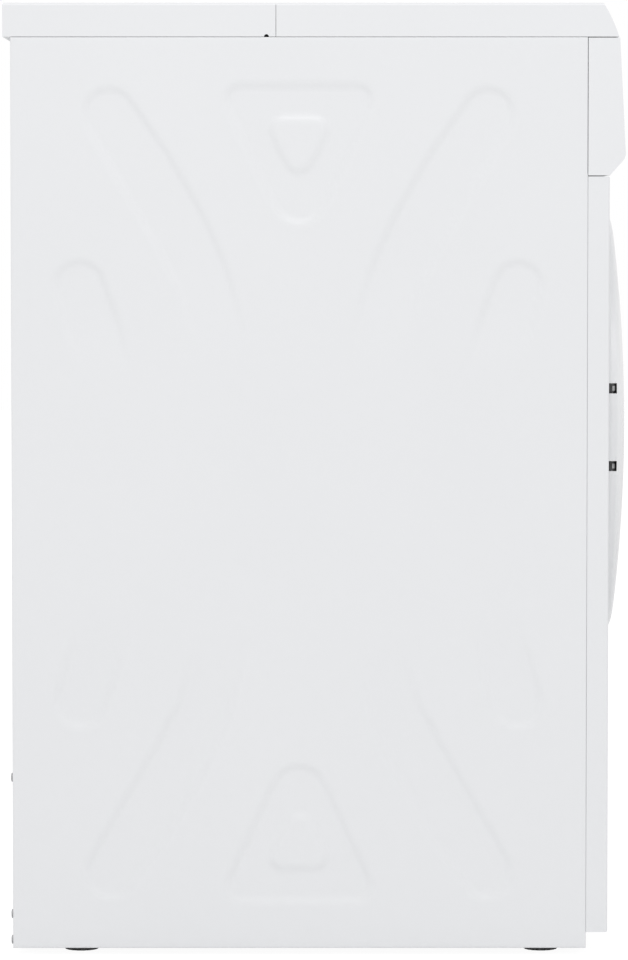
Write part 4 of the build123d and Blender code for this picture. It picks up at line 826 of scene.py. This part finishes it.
def domed_pane(name):
    """Turned section of the pane: both faces are y = crown + R - sqrt(R^2 - r^2), the inner one moved in by
    the thickness. R follows from the pane's radius and the height of its dome."""
    rise = window_high.y - window_low.y - pane_thickness
    dome_radius = (pane_radius ** 2 + rise ** 2) / (2 * rise)
    r = np.append(np.linspace(0.0, pane_radius - pane_edge, pane_rings), pane_radius)
    y = window_low.y + dome_radius - np.sqrt(dome_radius ** 2 - r ** 2)
    return door_turned(name, np.append(r, r[::-1]), np.append(y, y[::-1] + pane_thickness), pane_turns)


window_glass = hazed("window_glass", 30.0, 4.0, 0.03, 0.015, base_color=(0.40, 0.41, 0.42, 1.0),
                     roughness=0.03, transmission_weight=0.92, ior=1.5)
carry(domed_pane("window_pane"), "door", "window_glass", window_glass, "door_window")

seal_low, seal_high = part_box("door_seal")
seal_outer = (seal_high.x - seal_low.x) / 2
seal_width = 0.0100
seal_turns = 180
seal_share_r = np.array([0.0, 1.0, 1.0, 0.9, 0.84, 0.8, 0.74, 0.66, 0.56, 0.46, 0.38, 0.3, 0.18, 0.06, 0.0])
seal_share_y = np.array([0.0, 0.0, 0.16, 0.34, 0.62, 0.92, 1.0, 0.88, 0.62, 0.74, 0.86, 0.84, 0.6, 0.3, 0.0])


def lip_seal(name):
    """Turned section of the seal: a flat foot on the door, a hollow bead, and a thin lip that leans out."""
    section_r = seal_outer - seal_width + seal_width * seal_share_r
    section_y = seal_low.y + (seal_high.y - seal_low.y) * seal_share_y
    return door_turned(name, section_r, section_y, seal_turns)


carry(lip_seal("lip_seal"), "door", "rubber", rubber, "door_seal")

# Water tank: a translucent blow-moulded drawer in a grey tray, with a white front that has a grip let into
# it. The tank slides out towards the user; the front is clipped to it.
clear_plastic = hazed("clear_plastic", 45.0, 5.0, 0.16, 0.10, relief=0.0006,
                      base_color=(0.86, 0.89, 0.91, 1.0), roughness=0.18, transmission_weight=0.85, ior=1.45)
dress(clear_plastic, "water_tank")
dress(grey_plastic, "tank_tray")
dress(white_plastic, "tank_front")

# Fascia: a white moulding across the top of the front, with the display window and a circuit board behind
# it. Dial marks are printed round the knob, and the display shows the hours and minutes left.
dress(white_plastic, "fascia")
display_glass = hazed("display_glass", 60.0, 3.0, 0.06, 0.05, base_color=(0.010, 0.011, 0.013, 1.0),
                      roughness=0.08, coat_weight=0.6)
dress(display_glass, "display_window")
circuit = skinned("circuit", (0.020, 0.110, 0.050), (0.030, 0.140, 0.065), 0.40, 0.15, 700.0, 90.0, 0.0002)
dress(circuit, "control_board")

knob_place = np.array(joints["knob_turn"]["pos_m"])
face_out = np.array(joints["knob_turn"]["axis"])
face_right = np.array((1.0, 0.0, 0.0))
face_up = np.cross(face_out, face_right)
face_axes = (face_right, face_up, face_out)
tick_count = 16
tick_radius = 0.0390
tick_half = (0.0019, 0.00045, 0.00008)


def pillow(centre, axes, halves, square=0.35, rows=7, columns=16):
    """Rounded bar, a superquadric: half sizes times signed powers of cos and sin of two angles, on three
    axes."""
    def power(value):
        return np.sign(value) * np.abs(value) ** square

    lift, turn = np.meshgrid(np.linspace(np.pi / 2, -np.pi / 2, rows),
                             np.linspace(0.0, 2 * np.pi, columns, endpoint=False), indexing="ij")
    level = power(np.cos(lift))
    local = (level * power(np.cos(turn)), level * power(np.sin(turn)), power(np.sin(lift)))
    points = sum((half * part)[..., None] * np.asarray(axis) for half, part, axis in zip(halves, local, axes))
    return np.asarray(centre) + points, grid_faces(rows, columns, around=True)


def on_face(right, up, out):
    """Point on the fascia, measured from the knob's middle along the face and out of it."""
    return knob_place + right * face_right + up * face_up + out * face_out


def dial_tick(turn):
    """Short radial mark at an angle from the top of the dial."""
    outward = np.sin(turn) * face_right + np.cos(turn) * face_up
    sideways = np.cross(face_out, outward)
    return pillow(knob_place + tick_radius * outward, (outward, sideways, face_out), tick_half)


print_grey = skinned("print_grey", (0.100, 0.104, 0.110), (0.120, 0.124, 0.130), 0.5, 0.1,
                     2000.0, 30.0, 0.00002)
ticks = gathered("dial_ticks", [dial_tick(2 * np.pi * step / tick_count) for step in range(tick_count)])
carry(ticks, "cabinet", "white_plastic", print_grey)

knob_radius = 0.0310
knob_gap = 0.0006
knob_height = 0.0160
knob_foot = np.array((  # radius and height of the shaft and the skirt
    (0.0, -0.0114), (0.0030, -0.0114), (0.0030, knob_gap), (0.0290, knob_gap),
    (knob_radius, 0.0009), (knob_radius, 0.0026), (0.0302, 0.0034)))
knob_rim = np.array(((0.0280, 0.0153), (0.0273, 0.0158)))
grip_radius = 0.0292
grip_taper = 0.08
grip_ends = (0.0038, 0.0142)
top_radius = 0.0265
top_dish = 0.0008
knob_flutes = 40
knob_turns = 6 * knob_flutes
flute_depth = 0.0009
flute_low = 0.0034
flute_high = 0.0150
flute_fade = 0.0012
flute_inner = 0.026
pointer_place = 0.0170
pointer_half = (0.0009, 0.0060, 0.0004)
groove_depth = 0.0006
groove_slope = 0.0004


def fluted_knob(name):
    """Turned section: shaft, skirt, grip and a dished top. On the grip the radius loses a flute,
    depth * ((1 + cos(n theta)) / 2)^2; on the top the height loses a groove for the pointer."""
    grip = np.linspace(*grip_ends, 9)
    top = np.linspace(top_radius, 0.0, 26)
    dish = knob_height - top_dish * (1 - (top / top_radius) ** 2)
    taper = grip_radius - grip_taper * (grip - grip[0])
    section_r = np.concatenate((knob_foot[:, 0], taper, knob_rim[:, 0], top))
    section_h = np.concatenate((knob_foot[:, 1], grip, knob_rim[:, 1], dish))
    r, h, angle = turning(section_r, section_h, knob_turns)
    on_grip = soft_step((h - flute_low) / flute_fade) * soft_step((flute_high - h) / flute_fade)
    on_grip = on_grip * (r > flute_inner)
    r = r - on_grip * flute_depth * ((1 + np.cos(knob_flutes * angle)) / 2) ** 2
    right, up = r * np.cos(angle), r * np.sin(angle)
    groove = soft_step((pointer_half[0] - np.abs(right)) / groove_slope + 0.5)
    groove = groove * soft_step((pointer_half[1] - np.abs(up - pointer_place)) / groove_slope + 0.5)
    h = h - groove_depth * groove * (h > flute_high)
    faces = grid_faces(len(section_r), knob_turns, around=True)
    return piece(name, around(knob_place, face_axes, r, h, angle), faces)


carry(fluted_knob("fluted_knob"), "program_knob", "white_plastic", white_plastic, "program_knob")
pointer_middle = on_face(0.0, pointer_place, knob_height - groove_depth)
pointer = pillow(pointer_middle, face_axes, pointer_half, rows=9, columns=24)
carry(gathered("knob_pointer", [pointer]), "program_knob", "white_plastic", print_grey)

digit_height = 0.0110
digit_width = 0.0058
digit_places = {"1": -0.0150, "4": 0.0010, "5": 0.0110}
colon_place = -0.0070
colon_half = 0.0022
stroke_half = 0.00048
stroke_lift = 0.00010
stroke_gap = 0.0006
lit_strokes = {"1": "bc", "4": "fgbc", "5": "afgcd"}
stroke_places = {"a": (0.0, 0.5, 0), "b": (0.5, 0.25, 1), "c": (0.5, -0.25, 1), "d": (0.0, -0.5, 0),
                 "f": (-0.5, 0.25, 1), "g": (0.0, 0.0, 0)}


def middle_on_face(node):
    """Middle of a node along the fascia, to the right of the knob and above it."""
    low, high = (np.array(corner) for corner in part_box(node))
    offset = (low + high) / 2 - knob_place
    return offset @ face_right, offset @ face_up


def digit(figure, right, up):
    """Seven-stroke figure: each lit stroke is a rounded bar, lying or standing."""
    strokes = []
    for stroke in lit_strokes[figure]:
        place_right, place_up, standing = stroke_places[stroke]
        reach = (digit_height / 4 if standing else digit_width / 2) - stroke_gap
        halves = (stroke_half, reach, stroke_lift) if standing else (reach, stroke_half, stroke_lift)
        centre = on_face(right + place_right * digit_width, up + place_up * digit_height, 0.0)
        strokes.append(pillow(centre, face_axes, halves))
    return strokes


display_right, display_up = middle_on_face("display_window")
shown_time = []
for figure, place in digit_places.items():
    shown_time += digit(figure, display_right + place, display_up)
for rise in (-colon_half, colon_half):
    dot = on_face(display_right + colon_place, display_up + rise, 0.0)
    shown_time.append(pillow(dot, face_axes, (stroke_half, stroke_half, stroke_lift)))
lit_glass = skinned("lit_glass", (0.30, 0.42, 0.48), (0.26, 0.38, 0.44), 0.3, 0.1, 2000.0, 30.0, 0.00002,
                    emission_color=(0.62, 0.86, 1.0, 1.0), emission_strength=0.8)
carry(gathered("display_time", shown_time), "cabinet", "display", lit_glass)

# Push buttons: white caps that slide in the fascia, held by a flange behind its face.
# A start and pause sign is printed on the one and a plain dot on the other.
dress(white_plastic, "start_button", "option_button")
button_proud = 0.0025
print_lift = 0.00006
arrow_place = -0.0032
arrow_radius = 0.0026
bar_places = (0.0018, 0.0036)
bar_half = (0.00045, 0.0021, print_lift)
dot_radius = 0.0016
dot_sides = 28


def printed_plate(right, up, radius, sides):
    """Thin plate with equal sides round a middle, one corner to the right."""
    heights = (-print_lift, -print_lift, print_lift, print_lift)
    r, h, angle = turning((0.0, radius, radius, 0.0), heights, sides)
    return around(on_face(right, up, button_proud), face_axes, r, h, angle), grid_faces(4, sides, around=True)


start_right, start_up = middle_on_face("start_button")
start_sign = [printed_plate(start_right + arrow_place, start_up, arrow_radius, 3)]
for place in bar_places:
    start_sign.append(pillow(on_face(start_right + place, start_up, button_proud), face_axes, bar_half))
carry(gathered("start_sign", start_sign, smooth=False), "start_button", "white_plastic", print_grey)
option_dot = printed_plate(*middle_on_face("option_button"), dot_radius, dot_sides)
carry(gathered("option_sign", [option_dot], smooth=False), "option_button", "white_plastic", print_grey)

# Top frame: two white mouldings that meet in a joint across the sides, screwed down on the side panels.
# A board with a satin laminate is let into them, flush with their rim.
dress(white_plastic, "top_front_frame", "top_rear_frame")
laminate = skinned("laminate", (0.790, 0.797, 0.810), (0.765, 0.772, 0.786), 0.40, 0.08,
                   1500.0, 10.0, 0.00008)
dress(laminate, "top_board")

# Studio: a white floor under even light, with one soft lamp above the camera's side of the machine.
# The camera stands on the machine's left, a little above its middle, and looks slightly down.
camera_place = (-4.4985, 0.0122, 0.6553)
camera_pitch = np.radians(3.118)
camera_yaw = np.radians(-0.054)
camera_data = bpy.data.cameras.new("camera")
camera_data.sensor_fit = "VERTICAL"
camera_data.sensor_height = 36.0
camera_data.lens = 177.1
camera_data.clip_end = 60.0
camera = bpy.data.objects.new("camera", camera_data)
camera.location = camera_place
camera.rotation_euler = (np.pi / 2 - camera_pitch, 0.0, -np.pi / 2 + camera_yaw)
bpy.context.scene.collection.objects.link(camera)
bpy.context.scene.camera = camera

lamp_place = Vector((-2.5, -0.1, 3.1))
lamp_aim = Vector((0.0, 0.0, 0.4))
lamp_data = bpy.data.lights.new("key", "AREA")
lamp_data.shape = "SQUARE"
lamp_data.size = 1.8
lamp_data.energy = 31.0
lamp = bpy.data.objects.new("key", lamp_data)
lamp.location = lamp_place
lamp.rotation_euler = (lamp_aim - lamp_place).to_track_quat("-Z", "Y").to_euler()
bpy.context.scene.collection.objects.link(lamp)

room_light = 0.805
world = bpy.data.worlds.new("studio")
bpy.context.scene.world = world
world.use_nodes = True
sky = world.node_tree
room = sky.nodes["Background"]
seen = sky.nodes.new("ShaderNodeLightPath").outputs
shown = maths(sky, "MAXIMUM", seen["Is Camera Ray"], seen["Is Glossy Ray"])
shown = maths(sky, "MAXIMUM", shown, seen["Is Transmission Ray"])
strength = maths(sky, "MULTIPLY_ADD", shown, 1.0 - room_light, room_light)
room.inputs["Color"].default_value = (1.0, 1.0, 1.0, 1.0)
sky.links.new(strength, room.inputs["Strength"])

floor_size = 12.0
floor_glow = 1.12
floor_glow_share = 0.85
floor_line = np.linspace(-floor_size, floor_size, 3)
floor_grid = np.stack(np.meshgrid(floor_line, floor_line, [0.0], indexing="ij"), -1)
floor = piece("floor", floor_grid, grid_faces(3, 3)[:, ::-1])
floor_white, floor_tree, floor_shader = plain_shader("floor_white", base_color=(0.95, 0.95, 0.95, 1.0),
                                                     roughness=0.9)
glow = floor_tree.nodes.new("ShaderNodeEmission")
glow.inputs["Strength"].default_value = floor_glow
mixed = floor_tree.nodes.new("ShaderNodeMixShader")
floor_seen = floor_tree.nodes.new("ShaderNodeLightPath").outputs
floor_shown = maths(floor_tree, "MAXIMUM", floor_seen["Is Camera Ray"], floor_seen["Is Transmission Ray"])
floor_tree.links.new(maths(floor_tree, "MULTIPLY", floor_shown, floor_glow_share), mixed.inputs[0])
floor_tree.links.new(floor_shader.outputs[0], mixed.inputs[1])
floor_tree.links.new(glow.outputs[0], mixed.inputs[2])
floor_tree.links.new(mixed.outputs[0], floor_tree.nodes["Material Output"].inputs["Surface"])
floor.data.materials.append(floor_white)

bpy.context.scene.view_settings.view_transform = "Standard"
